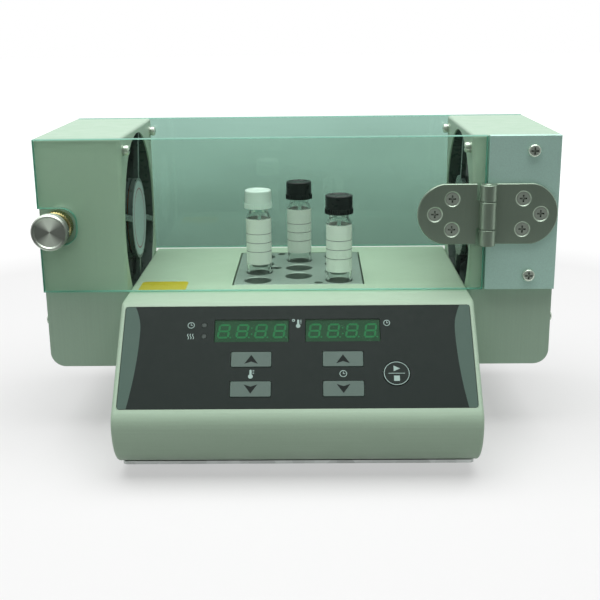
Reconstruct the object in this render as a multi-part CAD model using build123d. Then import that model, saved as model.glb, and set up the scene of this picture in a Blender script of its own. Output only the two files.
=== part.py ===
from build123d import *
import os
from math import cos, pi, radians, sin, sqrt, tan

# Bench reactor that digests sealed test vials in a heated aluminium block.  A wedge-fronted
# console carries the block, and a fan housing hangs on each side of it.  A glass door on a
# flap hinge and a fixed rear glass close the space between the housings, open at the top.
# Millimetres.  +Z is up, +X to the right, and the control panel faces -Y.
# The origin is on the table, under the centre of the whole reactor.

# ---- driving dimensions: the whole reactor ----
OVERALL_WIDTH = 320.0
OVERALL_DEPTH = 216.65
FRONT_Y = -OVERALL_DEPTH / 2
DECK_Z = 95.0

# ---- console ----
CONSOLE_WIDTH = 214.0
CONSOLE_BACK_Y = FRONT_Y + 211.5
SHELL_WALL = 2.5
SHELL_BOTTOM_Z = 9.5
NOSE_RADIUS = 12.0
PANEL_LENGTH = 73.0
TOE_SETBACK = 14.0
DECK_EDGE_RADIUS = 8.0
SIDE_EDGE_RADIUS = 2.0
BASE_Z = 5.5
BASE_THICKNESS = 2.0
FOOT_RADIUS = 8.0
FOOT_X = 88.0
FOOT_INSET_Y = 30.0
POST_SIZE = 12.0
POST_HEIGHT = 24.0

# ---- control panel, in its own plane: x across, v up the slope from the centre ----
OVERLAY_WIDTH = 208.0
OVERLAY_HEIGHT = 67.2
OVERLAY_THICKNESS = 0.4
PANEL_TOP_MARGIN = 3.3
DISPLAY_X = 27.2
DISPLAY_V = 17.0
DISPLAY_WIDTH = 44.4
DISPLAY_HEIGHT = 14.8
LED_X = -55.6
LED_V = (20.8, 13.3)
LED_RADIUS = 1.5
KEY_X = 27.0
KEY_UP_V = -2.2
KEY_DOWN_V = -21.3
KEY_WIDTH = 23.7
KEY_HEIGHT = 9.8
START_X = 58.1
START_V = -11.8
START_RADIUS = 7.8
KEY_GAP = 0.3
KEY_PROUD = 0.3
BOARD_DEPTH = 9.0
BOARD_SIZE = (152.0, 60.0, 1.6)
BOARD_POST_X = 71.0
BOARD_POST_V = 25.0

# ---- heating block, vials and what heats them ----
BLOCK_Y = FRONT_Y + 142.0
BLOCK_SIZE = (84.0, 90.0, 50.0)
BLOCK_GAP = 0.8
HOLE_RADIUS = 8.8
HOLE_CHAMFER = 0.5
HOLE_DEPTH = 45.0
HOLE_PITCH = 22.4
COLUMN_X = 26.6
THERMOMETER_X = -16.0
THERMOMETER_RADIUS = 3.9
THERMOMETER_CHAMFER = 0.3
LIFTING_HOLE = (13.2, 41.0, 2.85)
LINER_WALL = 1.2
HEATER_THICKNESS = 10.0
VIAL_RADIUS = 8.3
VIAL_WALL = 1.1
VIAL_SHOULDER_Z = 82.5
VIAL_NECK_RADIUS = 6.5
VIAL_LENGTH = 98.8
CAP_RADIUS = 9.2
CAP_HEIGHT = 12.0
CAP_RIBS = 40
CAP_TOP_WALL = 2.2
CAP_BAND = 3.2

# ---- fan housings ----
HOUSING_INNER_X = 107.2
HOUSING_OUTER_X = OVERALL_WIDTH / 2
HOUSING_TOP_Z = DECK_Z + 96.3
HOUSING_BOTTOM_Z = DECK_Z - 50.2
DOOR_FRONT_Y = FRONT_Y + 76.5
DOOR_THICKNESS = 5.0
DOOR_GAP = 0.3
HOUSING_FRONT_Y = DOOR_FRONT_Y + DOOR_THICKNESS + DOOR_GAP
HOUSING_DEPTH = 121.7
HOUSING_BACK_Y = HOUSING_FRONT_Y + HOUSING_DEPTH
SHEET = 1.0
CORNER_RADIUS = 9.5
FAN_SIZE = 119.0
FAN_DEPTH = 25.0
FAN_HOLE_SPACING = 105.0
FAN_Y = (HOUSING_FRONT_Y + HOUSING_BACK_Y) / 2
FAN_Z = DECK_Z + 35.5
FAN_BORE_RADIUS = 57.0
FAN_HUB_RADIUS = 27.0
FAN_BLADES = 7
OPENING_RADIUS = 57.3
INTAKE_SLOTS = 11
INTAKE_PITCH = 10.0
INTAKE_SLOT_HEIGHT = 5.0

# ---- glass, hinge and knob ----
GLASS_BOTTOM_Z = DECK_Z + 0.7
GLASS_ARRIS = 0.4
DOOR_RIGHT_X = 115.5
PLATE_LEFT_X = 116.6
NOTCH_HEIGHT = 22.6
NOTCH_END_X = -136.8
NOTCH_CORNER = 9.0
HINGE_X = 116.2
HINGE_Z = DECK_Z + 48.8
HINGE_HEIGHT = 37.4
HINGE_AXIS_Y = DOOR_FRONT_Y - 5.3
BARREL_RADIUS = 5.0
LEAF_THICKNESS = 2.0
KNUCKLE_END = 10.0
PIN_RADIUS = 2.5
PIN_CLEARANCE = 0.05
KNOB_X = -149.0
KNOB_Z = DECK_Z + 42.6
KNOB_FRONT_Y = DOOR_FRONT_Y - 18.5
KNOB_RADIUS = 11.2
COLLAR_RADIUS = 9.9
COLLAR_TEETH = 40
STUD_RADIUS = 3.0

# ---- rear panel fittings ----
INLET_X = 78.0
INLET_Z = 50.0
SWITCH_X = 44.0
SWITCH_Z = 50.0
SWITCH_RADIUS = 9.0
SWITCH_TILT = 12.0
SWITCH_FACE = 1.5
SWITCH_PIVOT = 0.2
VENT_SLOTS = 9
VENT_PITCH = 8.0

# ---- fasteners ----
SCREW_RADIUS = 2.0
SCREW_HOLE = 2.2
NUT_WIDTH = 7.0
NUT_HEIGHT = 3.2

# ---- worked out from the above ----
HALF_WIDTH = CONSOLE_WIDTH / 2
SIN45 = sin(radians(45))
PANEL_END_Y = FRONT_Y + NOSE_RADIUS * (1 - SIN45)
PANEL_END_Z = DECK_Z - PANEL_LENGTH * SIN45
DECK_FRONT_Y = PANEL_END_Y + PANEL_LENGTH * SIN45
NOSE_Z = PANEL_END_Z - NOSE_RADIUS * SIN45
PANEL_CENTRE = (PANEL_TOP_MARGIN + OVERLAY_HEIGHT / 2) * SIN45
PANEL = Plane(
    origin=(0, DECK_FRONT_Y - PANEL_CENTRE, DECK_Z - PANEL_CENTRE),
    x_dir=(1, 0, 0),
    z_dir=(0, -SIN45, SIN45),
)
KEYS = {
    "key_temp_up": (-KEY_X, KEY_UP_V),
    "key_temp_down": (-KEY_X, KEY_DOWN_V),
    "key_time_up": (KEY_X, KEY_UP_V),
    "key_time_down": (KEY_X, KEY_DOWN_V),
}
VIALS = {
    "vial_left": (-COLUMN_X, HOLE_PITCH / -2),
    "vial_middle": (0.0, HOLE_PITCH),
    "vial_right": (COLUMN_X, HOLE_PITCH * -1.5),
}
FAN_BOLTS = [(y, z) for y in (-FAN_HOLE_SPACING / 2, FAN_HOLE_SPACING / 2)
             for z in (-FAN_HOLE_SPACING / 2, FAN_HOLE_SPACING / 2)]
SIDE_BOLTS = [(y, z) for y in (FAN_Y - 48, FAN_Y + 48) for z in (51, 64)]
COVER_SCREWS = [(y, z) for y in (HOUSING_FRONT_Y + 5.5, HOUSING_BACK_Y - 5.5) for z in (75, 170)]
PLATE_SCREW_X = 143.5
PLATE_SCREW_Z = (DECK_Z + 87.1, DECK_Z + 9.8)
FIXED_LEAF_SCREWS = [(HINGE_X + 21.8, 9.5), (HINGE_X + 32.7, 0), (HINGE_X + 21.8, -9.5)]
DOOR_LEAF_SCREWS = [(HINGE_X - 21.3, 9.5), (HINGE_X - 31.8, 0), (HINGE_X - 21.3, -9.5)]
REAR_SCREWS = [(x, z) for x in (-143, 143) for z in (DECK_Z + 12, DECK_Z + 84)]
CABLE_HOLE = (FAN_Y, 57.0, 5.0)
KNOB_FRONT = HOUSING_FRONT_Y - KNOB_FRONT_Y
COLLAR_FRONT = HOUSING_FRONT_Y - DOOR_FRONT_Y + 2.2
CAP_SEAT = VIAL_LENGTH + 0.1 - CAP_HEIGHT + CAP_TOP_WALL
POST_X = HALF_WIDTH - SHELL_WALL - POST_SIZE / 2 + 0.5
POST_Y = (FRONT_Y + 34, CONSOLE_BACK_Y - 12)


# ---- small helpers ----
def box_between(low, high):
    size = [b - a for a, b in zip(low, high)]
    return Pos(*low) * Box(*size, align=(Align.MIN, Align.MIN, Align.MIN))


def rod(start, direction, radius, length):
    """Cylinder that starts at a point and runs along a direction."""
    seat = Plane(origin=start, z_dir=direction)
    return seat * Cylinder(radius, length, align=(Align.CENTER, Align.CENTER, Align.MIN))


def group(shapes):
    return Compound([solid for shape in shapes for solid in shape.solids()])


def turned(points):
    """Solid of revolution about Z from a closed outline of (radius, height) points."""
    face = make_face(Plane.XZ * Polyline(*points, close=True))
    return revolve(face, Axis.Z)


def cross_recess(width, depth):
    arm = Box(width, width * 0.22, depth * 2)
    return arm + Rot(0, 0, 90) * arm


def pan_screw(radius, length, head_radius, head_height):
    """Pan-head screw: the head stands on z = 0 and the shank runs down from there."""
    head = Cylinder(head_radius, head_height, align=(Align.CENTER, Align.CENTER, Align.MIN))
    head = fillet(head.edges().sort_by(Axis.Z)[-1], head_height * 0.55)
    head -= Pos(0, 0, head_height) * cross_recess(head_radius * 1.15, head_height * 0.5)
    return head + rod((0, 0, 0), (0, 0, -1), radius, length)


def countersunk_screw(radius, length, head_radius, sink):
    """Countersunk screw whose flat top lies a little under z = 0."""
    neck = -sink - (head_radius - radius) * 0.8
    outline = [(0, -length), (radius, -length), (radius, neck), (head_radius, -sink), (0, -sink)]
    return turned(outline) - Pos(0, 0, -sink) * cross_recess(head_radius * 1.1, 0.9)


def hex_nut(width=NUT_WIDTH, height=NUT_HEIGHT, bore_radius=SCREW_RADIUS + 0.05):
    """Nut with its seat at z = 0, standing along -z."""
    body = extrude(RegularPolygon(width / sqrt(3), 6), amount=-height)
    return body - Cylinder(bore_radius, height * 3)


def on_panel(x, v, shape):
    return PANEL * Pos(x, v, 0) * shape


def slab(width, height, top, bottom, corner=0.8):
    """Rounded rectangle between two levels of its own plane."""
    return Pos(0, 0, bottom) * extrude(RectangleRounded(width, height, corner), amount=top - bottom)


def disc(radius, top, bottom):
    return Pos(0, 0, bottom) * Cylinder(radius, top - bottom, align=(Align.CENTER, Align.CENTER, Align.MIN))


# ---- console shell ----
def console_outline():
    """Side view: flat deck, 45 degree panel, rounded nose, and a belly that tucks under."""
    toe = (FRONT_Y + TOE_SETBACK, SHELL_BOTTOM_Z)
    rear_bottom = (CONSOLE_BACK_Y, SHELL_BOTTOM_Z)
    rear_top = (CONSOLE_BACK_Y, DECK_Z)
    panel_top = (DECK_FRONT_Y, DECK_Z)
    panel_end = (PANEL_END_Y, PANEL_END_Z)
    nose = (FRONT_Y, NOSE_Z)
    straights = Polyline(toe, rear_bottom, rear_top, panel_top, panel_end)
    nose_arc = TangentArc(panel_end, nose, tangent=(-1, -1))
    belly_arc = TangentArc(nose, toe, tangent=(0, -1))
    face = make_face([straights, nose_arc, belly_arc])
    return fillet(face.vertices().group_by(Axis.Y)[-1], DECK_EDGE_RADIUS)


def across(face, width):
    """Extrude a side-view face evenly to both sides of the centre plane."""
    return extrude(Plane.YZ * face, amount=width / 2, both=True)


def shell_posts():
    """Corner posts that the base plate is screwed to."""
    posts = []
    low = BASE_Z + BASE_THICKNESS
    for x, y in base_screw_places():
        post = Pos(x, y, low + POST_HEIGHT / 2) * Box(POST_SIZE, POST_SIZE, POST_HEIGHT)
        posts.append(post - rod((x, y, 0), (0, 0, 1), 1.4, POST_HEIGHT))
    return posts


def board_posts():
    """Posts under the panel that the control board is screwed to."""
    posts = []
    for x in (-BOARD_POST_X, BOARD_POST_X):
        for v in (-BOARD_POST_V, BOARD_POST_V):
            post = disc(3.5, -SHELL_WALL + 0.5, -BOARD_DEPTH) - disc(1.2, -BOARD_DEPTH + 4, -BOARD_DEPTH - 1)
            posts.append(on_panel(x, v, post))
    return posts


def panel_cuts():
    """Overlay recess, display windows, lamp holes and key holes."""
    cuts = [on_panel(0, 0, slab(OVERLAY_WIDTH + 0.4, OVERLAY_HEIGHT + 0.4, 3, -OVERLAY_THICKNESS, 2))]
    for x in (-DISPLAY_X, DISPLAY_X):
        cuts.append(on_panel(x, DISPLAY_V, slab(DISPLAY_WIDTH + 0.6, DISPLAY_HEIGHT + 0.6, 1, -6, 0.5)))
    for v in LED_V:
        cuts.append(on_panel(LED_X, v, disc(LED_RADIUS + 0.3, 1, -6)))
    for x, v in KEYS.values():
        cuts.append(on_panel(x, v, slab(KEY_WIDTH + 2 * KEY_GAP, KEY_HEIGHT + 2 * KEY_GAP, 1, -6, 1)))
    cuts.append(on_panel(START_X, START_V, disc(START_RADIUS + KEY_GAP, 1, -6)))
    return cuts


def rear_cuts():
    """Openings in the rear wall for the inlet and the switch, and a row of cooling slots."""
    back = Plane(origin=(0, CONSOLE_BACK_Y, 0), x_dir=(1, 0, 0), z_dir=(0, -1, 0))
    cuts = [
        back * Pos(INLET_X, INLET_Z, -1) * Box(28.4, 36.4, 12),
        back * Pos(SWITCH_X, SWITCH_Z, -1) * Box(13.4, 20.4, 12),
    ]
    slot = extrude(SlotOverall(34, 3.2, rotation=90), amount=8, both=True)
    for i in range(VENT_SLOTS):
        cuts.append(back * Pos(-80 + i * VENT_PITCH, SWITCH_Z, 0) * slot)
    return cuts


def side_cuts():
    """Holes in both side walls: housing bolts, room for the lower fan screws, fan cables."""
    cuts = []
    for side in (-1, 1):
        wall = (side * (HALF_WIDTH + 1), 0, 0)
        for y, z in SIDE_BOLTS:
            cuts.append(rod((wall[0], y, z), (-side, 0, 0), SCREW_HOLE, 6))
        for y, z in FAN_BOLTS:
            cuts.append(rod((wall[0], FAN_Y + y, FAN_Z + z), (-side, 0, 0), 5.5, 6))
        y, z, radius = CABLE_HOLE
        cuts.append(rod((wall[0], y, z), (-side, 0, 0), radius, 6))
    return cuts


def console_shell():
    outline = console_outline()
    body = across(outline, CONSOLE_WIDTH)
    rims = [e for f in body.faces().filter_by(Axis.X) for e in f.edges()
            if e.center().Z > SHELL_BOTTOM_Z + 1]
    body = fillet(rims, SIDE_EDGE_RADIUS)
    inner_width = CONSOLE_WIDTH - 2 * SHELL_WALL
    body -= across(offset(outline, amount=-SHELL_WALL), inner_width)
    body -= box_between(
        (-inner_width / 2, FRONT_Y + TOE_SETBACK + SHELL_WALL, 0),
        (inner_width / 2, CONSOLE_BACK_Y - SHELL_WALL, SHELL_BOTTOM_Z + SHELL_WALL + 1),
    )
    body -= Pos(0, BLOCK_Y, DECK_Z) * extrude(RectangleRounded(*liner_size(0), 1), amount=10, both=True)
    body += shell_posts()
    body += board_posts()
    body -= panel_cuts()
    body -= rear_cuts()
    return body - side_cuts()


# ---- console base ----
def base_plate():
    depth = CONSOLE_BACK_Y - FRONT_Y - TOE_SETBACK - 6
    centre_y = (CONSOLE_BACK_Y + FRONT_Y + TOE_SETBACK) / 2
    centre = (0, centre_y, BASE_Z + BASE_THICKNESS / 2)
    plate = extrude(RectangleRounded(CONSOLE_WIDTH - 5, depth, 3), amount=BASE_THICKNESS / 2, both=True)
    plate = Pos(*centre) * plate
    slot = extrude(SlotOverall(40, 4), amount=BASE_THICKNESS * 2, both=True)
    for side in (-1, 1):
        for row in range(5):
            plate -= Pos(side * 62, centre_y - 24 + row * 12, BASE_Z) * slot
    for x, y in base_screw_places() + foot_places():
        plate -= rod((x, y, 0), (0, 0, 1), 1.8, 12)
    return plate


def base_screw_places():
    return [(x, y) for x in (-POST_X, POST_X) for y in POST_Y]


def foot_places():
    front = FRONT_Y + FOOT_INSET_Y + 18
    back = CONSOLE_BACK_Y - FOOT_INSET_Y
    return [(x, y) for x in (-FOOT_X, FOOT_X) for y in (front, back)]


def foot():
    """Stepped rubber foot with a recessed seat for its screw."""
    outline = [(2.0, BASE_Z), (FOOT_RADIUS, BASE_Z), (FOOT_RADIUS - 1.2, 0), (4.2, 0), (4.2, 2.5), (2.0, 2.5)]
    return turned(outline)


def feet():
    return group([Pos(x, y, 0) * foot() for x, y in foot_places()])


def case_screws():
    """Small screws, all alike: feet, base plate and the side covers of both housings."""
    screws = []
    screw = pan_screw(1.35, 7.5, 2.8, 1.8)
    for x, y in foot_places():
        screws.append(Plane(origin=(x, y, 2.5), z_dir=(0, 0, -1)) * screw)
    for x, y in base_screw_places():
        screws.append(Plane(origin=(x, y, BASE_Z), z_dir=(0, 0, -1)) * screw)
    for side in (-1, 1):
        for y, z in COVER_SCREWS:
            screws.append(Plane(origin=(side * HOUSING_OUTER_X, y, z), z_dir=(side, 0, 0)) * screw)
    return group(screws)


# ---- control panel ----
def membrane_overlay():
    """Printed overlay, open over the displays, the lamps and the keys."""
    sheet = slab(OVERLAY_WIDTH, OVERLAY_HEIGHT, 0, -OVERLAY_THICKNESS, 2)
    for x in (-DISPLAY_X, DISPLAY_X):
        sheet -= Pos(x, DISPLAY_V, 0) * slab(DISPLAY_WIDTH + 0.4, DISPLAY_HEIGHT + 0.4, 1, -1, 0.5)
    for v in LED_V:
        sheet -= Pos(LED_X, v, 0) * disc(LED_RADIUS + 0.2, 1, -1)
    for x, v in KEYS.values():
        sheet -= Pos(x, v, 0) * slab(KEY_WIDTH + 2 * KEY_GAP, KEY_HEIGHT + 2 * KEY_GAP, 1, -1, 1)
    sheet -= Pos(START_X, START_V, 0) * disc(START_RADIUS + KEY_GAP, 1, -1)
    return PANEL * sheet


def display_windows():
    pane = slab(DISPLAY_WIDTH, DISPLAY_HEIGHT, 0, -OVERLAY_THICKNESS, 0.5)
    return group([on_panel(x, DISPLAY_V, pane) for x in (-DISPLAY_X, DISPLAY_X)])


def display_modules():
    module = slab(DISPLAY_WIDTH - 0.4, DISPLAY_HEIGHT - 0.4, -0.8, -BOARD_DEPTH, 0.3)
    return group([on_panel(x, DISPLAY_V, module) for x in (-DISPLAY_X, DISPLAY_X)])


def indicator_leds():
    dome = Pos(0, 0, -LED_RADIUS - 0.1) * Sphere(LED_RADIUS)
    lamp = dome + disc(LED_RADIUS, -LED_RADIUS - 0.1, -BOARD_DEPTH)
    return group([on_panel(LED_X, v, lamp) for v in LED_V])


def key(cap, flange):
    """Key cap above the panel, a flange that keeps it in, and a stem down to its switch."""
    return cap + flange + disc(2.0, -3.0, -4.2)


def arrow_key(x, v):
    cap = slab(KEY_WIDTH, KEY_HEIGHT, KEY_PROUD, -3.0, 1)
    cap = chamfer(cap.faces().sort_by(Axis.Z)[-1].edges(), 0.2)
    flange = slab(KEY_WIDTH + 2.4, KEY_HEIGHT + 1.8, -2.8, -3.5, 1)
    return on_panel(x, v, key(cap, flange))


def start_key():
    cap = disc(START_RADIUS, KEY_PROUD, -3.0)
    cap = chamfer(cap.faces().sort_by(Axis.Z)[-1].edges(), 0.2)
    return on_panel(START_X, START_V, key(cap, disc(START_RADIUS + 1.2, -2.8, -3.5)))


def control_board():
    """Circuit board behind the panel with a push switch under each key."""
    width, height, thickness = BOARD_SIZE
    board = slab(width, height, -BOARD_DEPTH, -BOARD_DEPTH - thickness, 2)
    for x in (-BOARD_POST_X, BOARD_POST_X):
        for v in (-BOARD_POST_V, BOARD_POST_V):
            board -= Pos(x, v, 0) * disc(1.4, 0, -20)
    switch = slab(6, 6, -5.6, -BOARD_DEPTH, 0.4) + disc(1.7, -4.85, -5.8)
    for x, v in list(KEYS.values()) + [(START_X, START_V)]:
        board += Pos(x, v, 0) * switch
    board += Pos(-20, -4, -BOARD_DEPTH - thickness - 1.6) * Box(22, 14, 3.2)
    board += Pos(30, 6, -BOARD_DEPTH - thickness - 4) * Box(24, 8, 8)
    return PANEL * board


def board_screws():
    back = -BOARD_DEPTH - BOARD_SIZE[2]
    screw = Pos(0, 0, back) * Rot(180, 0, 0) * pan_screw(1.15, 5.2, 2.4, 1.5)
    return group([on_panel(x, v, screw) for x in (-BOARD_POST_X, BOARD_POST_X)
                  for v in (-BOARD_POST_V, BOARD_POST_V)])


# ---- heating block and vials ----
def hole_places():
    """Two outer columns of four holes and a middle column of three, set half a pitch off."""
    places = []
    for x in (-COLUMN_X, COLUMN_X):
        for row in range(4):
            places.append((x, (row - 1.5) * HOLE_PITCH))
    return places + [(0.0, (row - 1) * HOLE_PITCH) for row in range(3)]


def blind_hole(radius, depth, bevel):
    """Cutter for a hole with a bevelled mouth at z = 0."""
    mouth = radius + bevel
    return turned([(0, -depth), (radius, -depth), (radius, -bevel), (mouth, 0), (mouth, 1), (0, 1)])


def heating_block():
    width, depth, height = BLOCK_SIZE
    block = Box(width, depth, height, align=(Align.CENTER, Align.CENTER, Align.MAX))
    block = chamfer(block.edges(), 0.6)
    for x, y in hole_places():
        block -= Pos(x, y, 0) * blind_hole(HOLE_RADIUS, HOLE_DEPTH, HOLE_CHAMFER)
    block -= Pos(THERMOMETER_X, 0, 0) * blind_hole(THERMOMETER_RADIUS, HOLE_DEPTH - 5, THERMOMETER_CHAMFER)
    x, y, radius = LIFTING_HOLE
    for sign in (-1, 1):
        block -= Pos(-sign * x, sign * y, 0) * disc(radius, 1, -12)
    return Pos(0, BLOCK_Y, DECK_Z) * block


def liner_size(extra):
    return [size + 2 * (BLOCK_GAP + extra) for size in BLOCK_SIZE[:2]]


def well_liner():
    """Thin open tray under the opening of the deck, which the block drops into."""
    floor_z = DECK_Z - BLOCK_SIZE[2] - 0.1
    depth = DECK_Z - SHELL_WALL - floor_z
    outer = extrude(RectangleRounded(*liner_size(LINER_WALL), 2.2), amount=depth + LINER_WALL)
    inner = extrude(RectangleRounded(*liner_size(0), 1), amount=depth + 1)
    return Pos(0, BLOCK_Y, floor_z - LINER_WALL) * (outer - Pos(0, 0, LINER_WALL) * inner)


def heater_top_z():
    return DECK_Z - BLOCK_SIZE[2] - 0.1 - LINER_WALL


def heater_plate():
    """Aluminium plate under the tray, bored across for two heaters and the probe."""
    plate = Box(BLOCK_SIZE[0], BLOCK_SIZE[1], HEATER_THICKNESS, align=(Align.CENTER, Align.CENTER, Align.MAX))
    for y in (-28, 28):
        plate -= Pos(0, y, -HEATER_THICKNESS / 2) * Rot(0, 90, 0) * Cylinder(3.2, BLOCK_SIZE[0] * 2)
    plate -= Pos(22, 0, -HEATER_THICKNESS / 2) * Rot(0, 90, 0) * Cylinder(2.0, 60)
    return Pos(0, BLOCK_Y, heater_top_z()) * plate


def cartridge_heaters():
    mid_z = heater_top_z() - HEATER_THICKNESS / 2
    return group([rod((-46, BLOCK_Y + y, mid_z), (1, 0, 0), 3.2, 88) for y in (-28, 28)])


def temperature_probe():
    return rod((-8, BLOCK_Y, heater_top_z() - HEATER_THICKNESS / 2), (1, 0, 0), 2.0, 58)


def insulation_jacket():
    """Mineral-wool frame round the tray."""
    height = 46.0
    outer = Box(*[s + 14 for s in liner_size(LINER_WALL)], height)
    inner = Box(*[s + 0.4 for s in liner_size(LINER_WALL)], height * 2)
    return Pos(0, BLOCK_Y, DECK_Z - 27) * (outer - inner)


def heater_bracket():
    """Sheet bridge that carries the heater plate above the base plate."""
    top = heater_top_z() - HEATER_THICKNESS
    foot_z = BASE_Z + BASE_THICKNESS
    half = BLOCK_SIZE[0] / 2
    path = Polyline((-half - 10, foot_z), (-half, foot_z), (-half, top - 1.5), (half, top - 1.5),
                    (half, foot_z), (half + 10, foot_z))
    strip = make_face(offset(path, amount=0.75, side=Side.BOTH))
    strip = extrude(Plane.XZ * strip, amount=30, both=True)
    return Pos(0, BLOCK_Y, 0.75) * strip


def vial():
    """Round glass vial with a sloped shoulder and a narrower neck."""
    inner = VIAL_RADIUS - VIAL_WALL
    bore = VIAL_NECK_RADIUS - VIAL_WALL
    outline = [
        (0, 0), (VIAL_RADIUS - 1.5, 0), (VIAL_RADIUS, 1.5), (VIAL_RADIUS, VIAL_SHOULDER_Z),
        (VIAL_NECK_RADIUS, VIAL_SHOULDER_Z + 3.5), (VIAL_NECK_RADIUS, VIAL_LENGTH), (bore, VIAL_LENGTH),
        (bore, VIAL_SHOULDER_Z + 3), (inner, VIAL_SHOULDER_Z - 0.5), (inner, 2.5), (inner - 1.2, 1.4),
        (0, 1.4),
    ]
    return turned(outline)


def ribbed_outline(tip_radius, root_radius, count):
    """Closed outline that steps between two radii round a circle."""
    points = []
    for i in range(count * 2):
        radius = tip_radius if i % 2 == 0 else root_radius
        angle = pi * i / count
        points.append((radius * cos(angle), radius * sin(angle)))
    return make_face(Polyline(*points, close=True))


def vial_cap():
    """Screw cap: a ribbed band at the foot, a plain side, and a rounded edge round a dished top."""
    side = CAP_RADIUS - 0.45
    band = extrude(ribbed_outline(CAP_RADIUS, side, CAP_RIBS), amount=CAP_BAND)
    crown = disc(side, CAP_HEIGHT, 0)
    crown = fillet(crown.edges().sort_by(Axis.Z)[-1], 1.1)
    dish = turned([(0, CAP_HEIGHT - 0.5), (side - 3.2, CAP_HEIGHT - 0.5), (side - 2.4, CAP_HEIGHT + 0.1),
                   (0, CAP_HEIGHT + 0.1)])
    return band + crown - dish - disc(VIAL_NECK_RADIUS + 0.1, CAP_HEIGHT - CAP_TOP_WALL, -1)


def vial_seat_z():
    return DECK_Z - HOLE_DEPTH + 0.1


def place_vial(name, shape):
    x, y = VIALS[name]
    return Pos(x, BLOCK_Y + y, vial_seat_z()) * shape


# ---- fan housings: the right one is modelled, the left one is its mirror image ----
def housing_block(inset):
    """The housing's full form, or the space inside it when inset by the sheet thickness."""
    low = (HOUSING_INNER_X + inset, HOUSING_FRONT_Y + inset, HOUSING_BOTTOM_Z + inset)
    high = (HOUSING_OUTER_X - inset, HOUSING_BACK_Y - inset, HOUSING_TOP_Z - inset)
    body = box_between(low, high)
    bottom_outer = body.edges().filter_by(Axis.Y).group_by(Axis.Z)[0].sort_by(Axis.X)[-1]
    body = fillet(bottom_outer, CORNER_RADIUS - inset)
    upright = body.edges().filter_by(Axis.Z).group_by(Axis.X)[0]
    body = fillet(upright, 2.5 - inset)
    rims = body.faces().sort_by(Axis.Z)[-1].edges()
    rims = [e for e in rims if e.center().X < HOUSING_OUTER_X - 5]
    return fillet(rims, 1.8 - inset)


def cover_wrap(inner_x, top_z, play):
    """Outer wall, rounded corner and bottom in one bend, between the front and back panels."""
    outer = Plane.XZ * Pos((inner_x + HOUSING_OUTER_X) / 2, (HOUSING_BOTTOM_Z + top_z) / 2) * Rectangle(
        HOUSING_OUTER_X - inner_x, top_z - HOUSING_BOTTOM_Z)
    solid = extrude(outer, amount=HOUSING_DEPTH / 2 - SHEET - play, both=True)
    edge = solid.edges().filter_by(Axis.Y).group_by(Axis.Z)[0].sort_by(Axis.X)[-1]
    solid = fillet(edge, CORNER_RADIUS)
    low = (inner_x - 5, -HOUSING_DEPTH, HOUSING_BOTTOM_Z + SHEET)
    high = (HOUSING_OUTER_X - SHEET, HOUSING_DEPTH, top_z + 5)
    core = box_between(low, high)
    edge = core.edges().filter_by(Axis.Y).group_by(Axis.Z)[0].sort_by(Axis.X)[-1]
    core = fillet(edge, CORNER_RADIUS - SHEET)
    return Pos(0, FAN_Y, 0) * (solid - core)


def side_cover():
    """Wrap with a round field of intake slots opposite the fan."""
    cover = cover_wrap(HOUSING_INNER_X + SHEET + 0.1, HOUSING_TOP_Z - SHEET - 0.1, 0.1)
    for i in range(INTAKE_SLOTS):
        rise = (i - (INTAKE_SLOTS - 1) / 2) * INTAKE_PITCH
        length = 2 * sqrt(FAN_BORE_RADIUS ** 2 - rise ** 2)
        slot = extrude(SlotOverall(length, INTAKE_SLOT_HEIGHT), amount=3, both=True)
        face = Plane(origin=(HOUSING_OUTER_X, FAN_Y, FAN_Z + rise), x_dir=(0, 1, 0), z_dir=(1, 0, 0))
        cover -= face * slot
    for y, z in COVER_SCREWS:
        cover -= rod((HOUSING_OUTER_X + 1, y, z), (-1, 0, 0), 1.5, 4)
    return cover


def cover_flanges():
    """Strips bent in behind the side cover, which its screws bite into."""
    strips = []
    x = HOUSING_OUTER_X - SHEET - 0.1
    for start in (HOUSING_FRONT_Y + SHEET - 0.2, HOUSING_BACK_Y - SHEET - 8.8):
        strips.append(box_between((x - SHEET, start, 60), (x, start + 9, 182)))
    for y, z in COVER_SCREWS:
        strips = [strip - rod((x + 1, y, z), (-1, 0, 0), 1.4, 4) for strip in strips]
    return strips


def housing_shell(front_holes):
    """Front, inner side, back and top in one welded sheet, open where the side cover goes."""
    body = housing_block(0) - housing_block(SHEET)
    body -= cover_wrap(HOUSING_INNER_X + SHEET, HOUSING_TOP_Z - SHEET, 0)
    body += cover_flanges()
    inner = HOUSING_INNER_X - 1
    body -= rod((inner, FAN_Y, FAN_Z), (1, 0, 0), OPENING_RADIUS, 4)
    for y, z in FAN_BOLTS:
        body -= rod((inner, FAN_Y + y, FAN_Z + z), (1, 0, 0), SCREW_HOLE, 4)
    for y, z in SIDE_BOLTS:
        body -= rod((inner, y, z), (1, 0, 0), SCREW_HOLE, 4)
    y, z, radius = CABLE_HOLE
    body -= rod((inner, y, z), (1, 0, 0), radius, 4)
    for x, z in REAR_SCREWS[2:]:
        body -= rod((x, HOUSING_BACK_Y + 1, z), (0, -1, 0), SCREW_HOLE, 4)
    for x, z, radius in front_holes:
        body -= rod((x, HOUSING_FRONT_Y - 1, z), (0, 1, 0), radius, 4)
    return body


def right_housing():
    holes = [(PLATE_SCREW_X, z, SCREW_HOLE) for z in PLATE_SCREW_Z]
    holes += [(x, HINGE_Z + rise, SCREW_HOLE) for x, rise in FIXED_LEAF_SCREWS]
    return housing_shell(holes)


def left_housing():
    return mirror(housing_shell([(-KNOB_X, KNOB_Z, STUD_RADIUS + 0.1)]), about=Plane.YZ)


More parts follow.
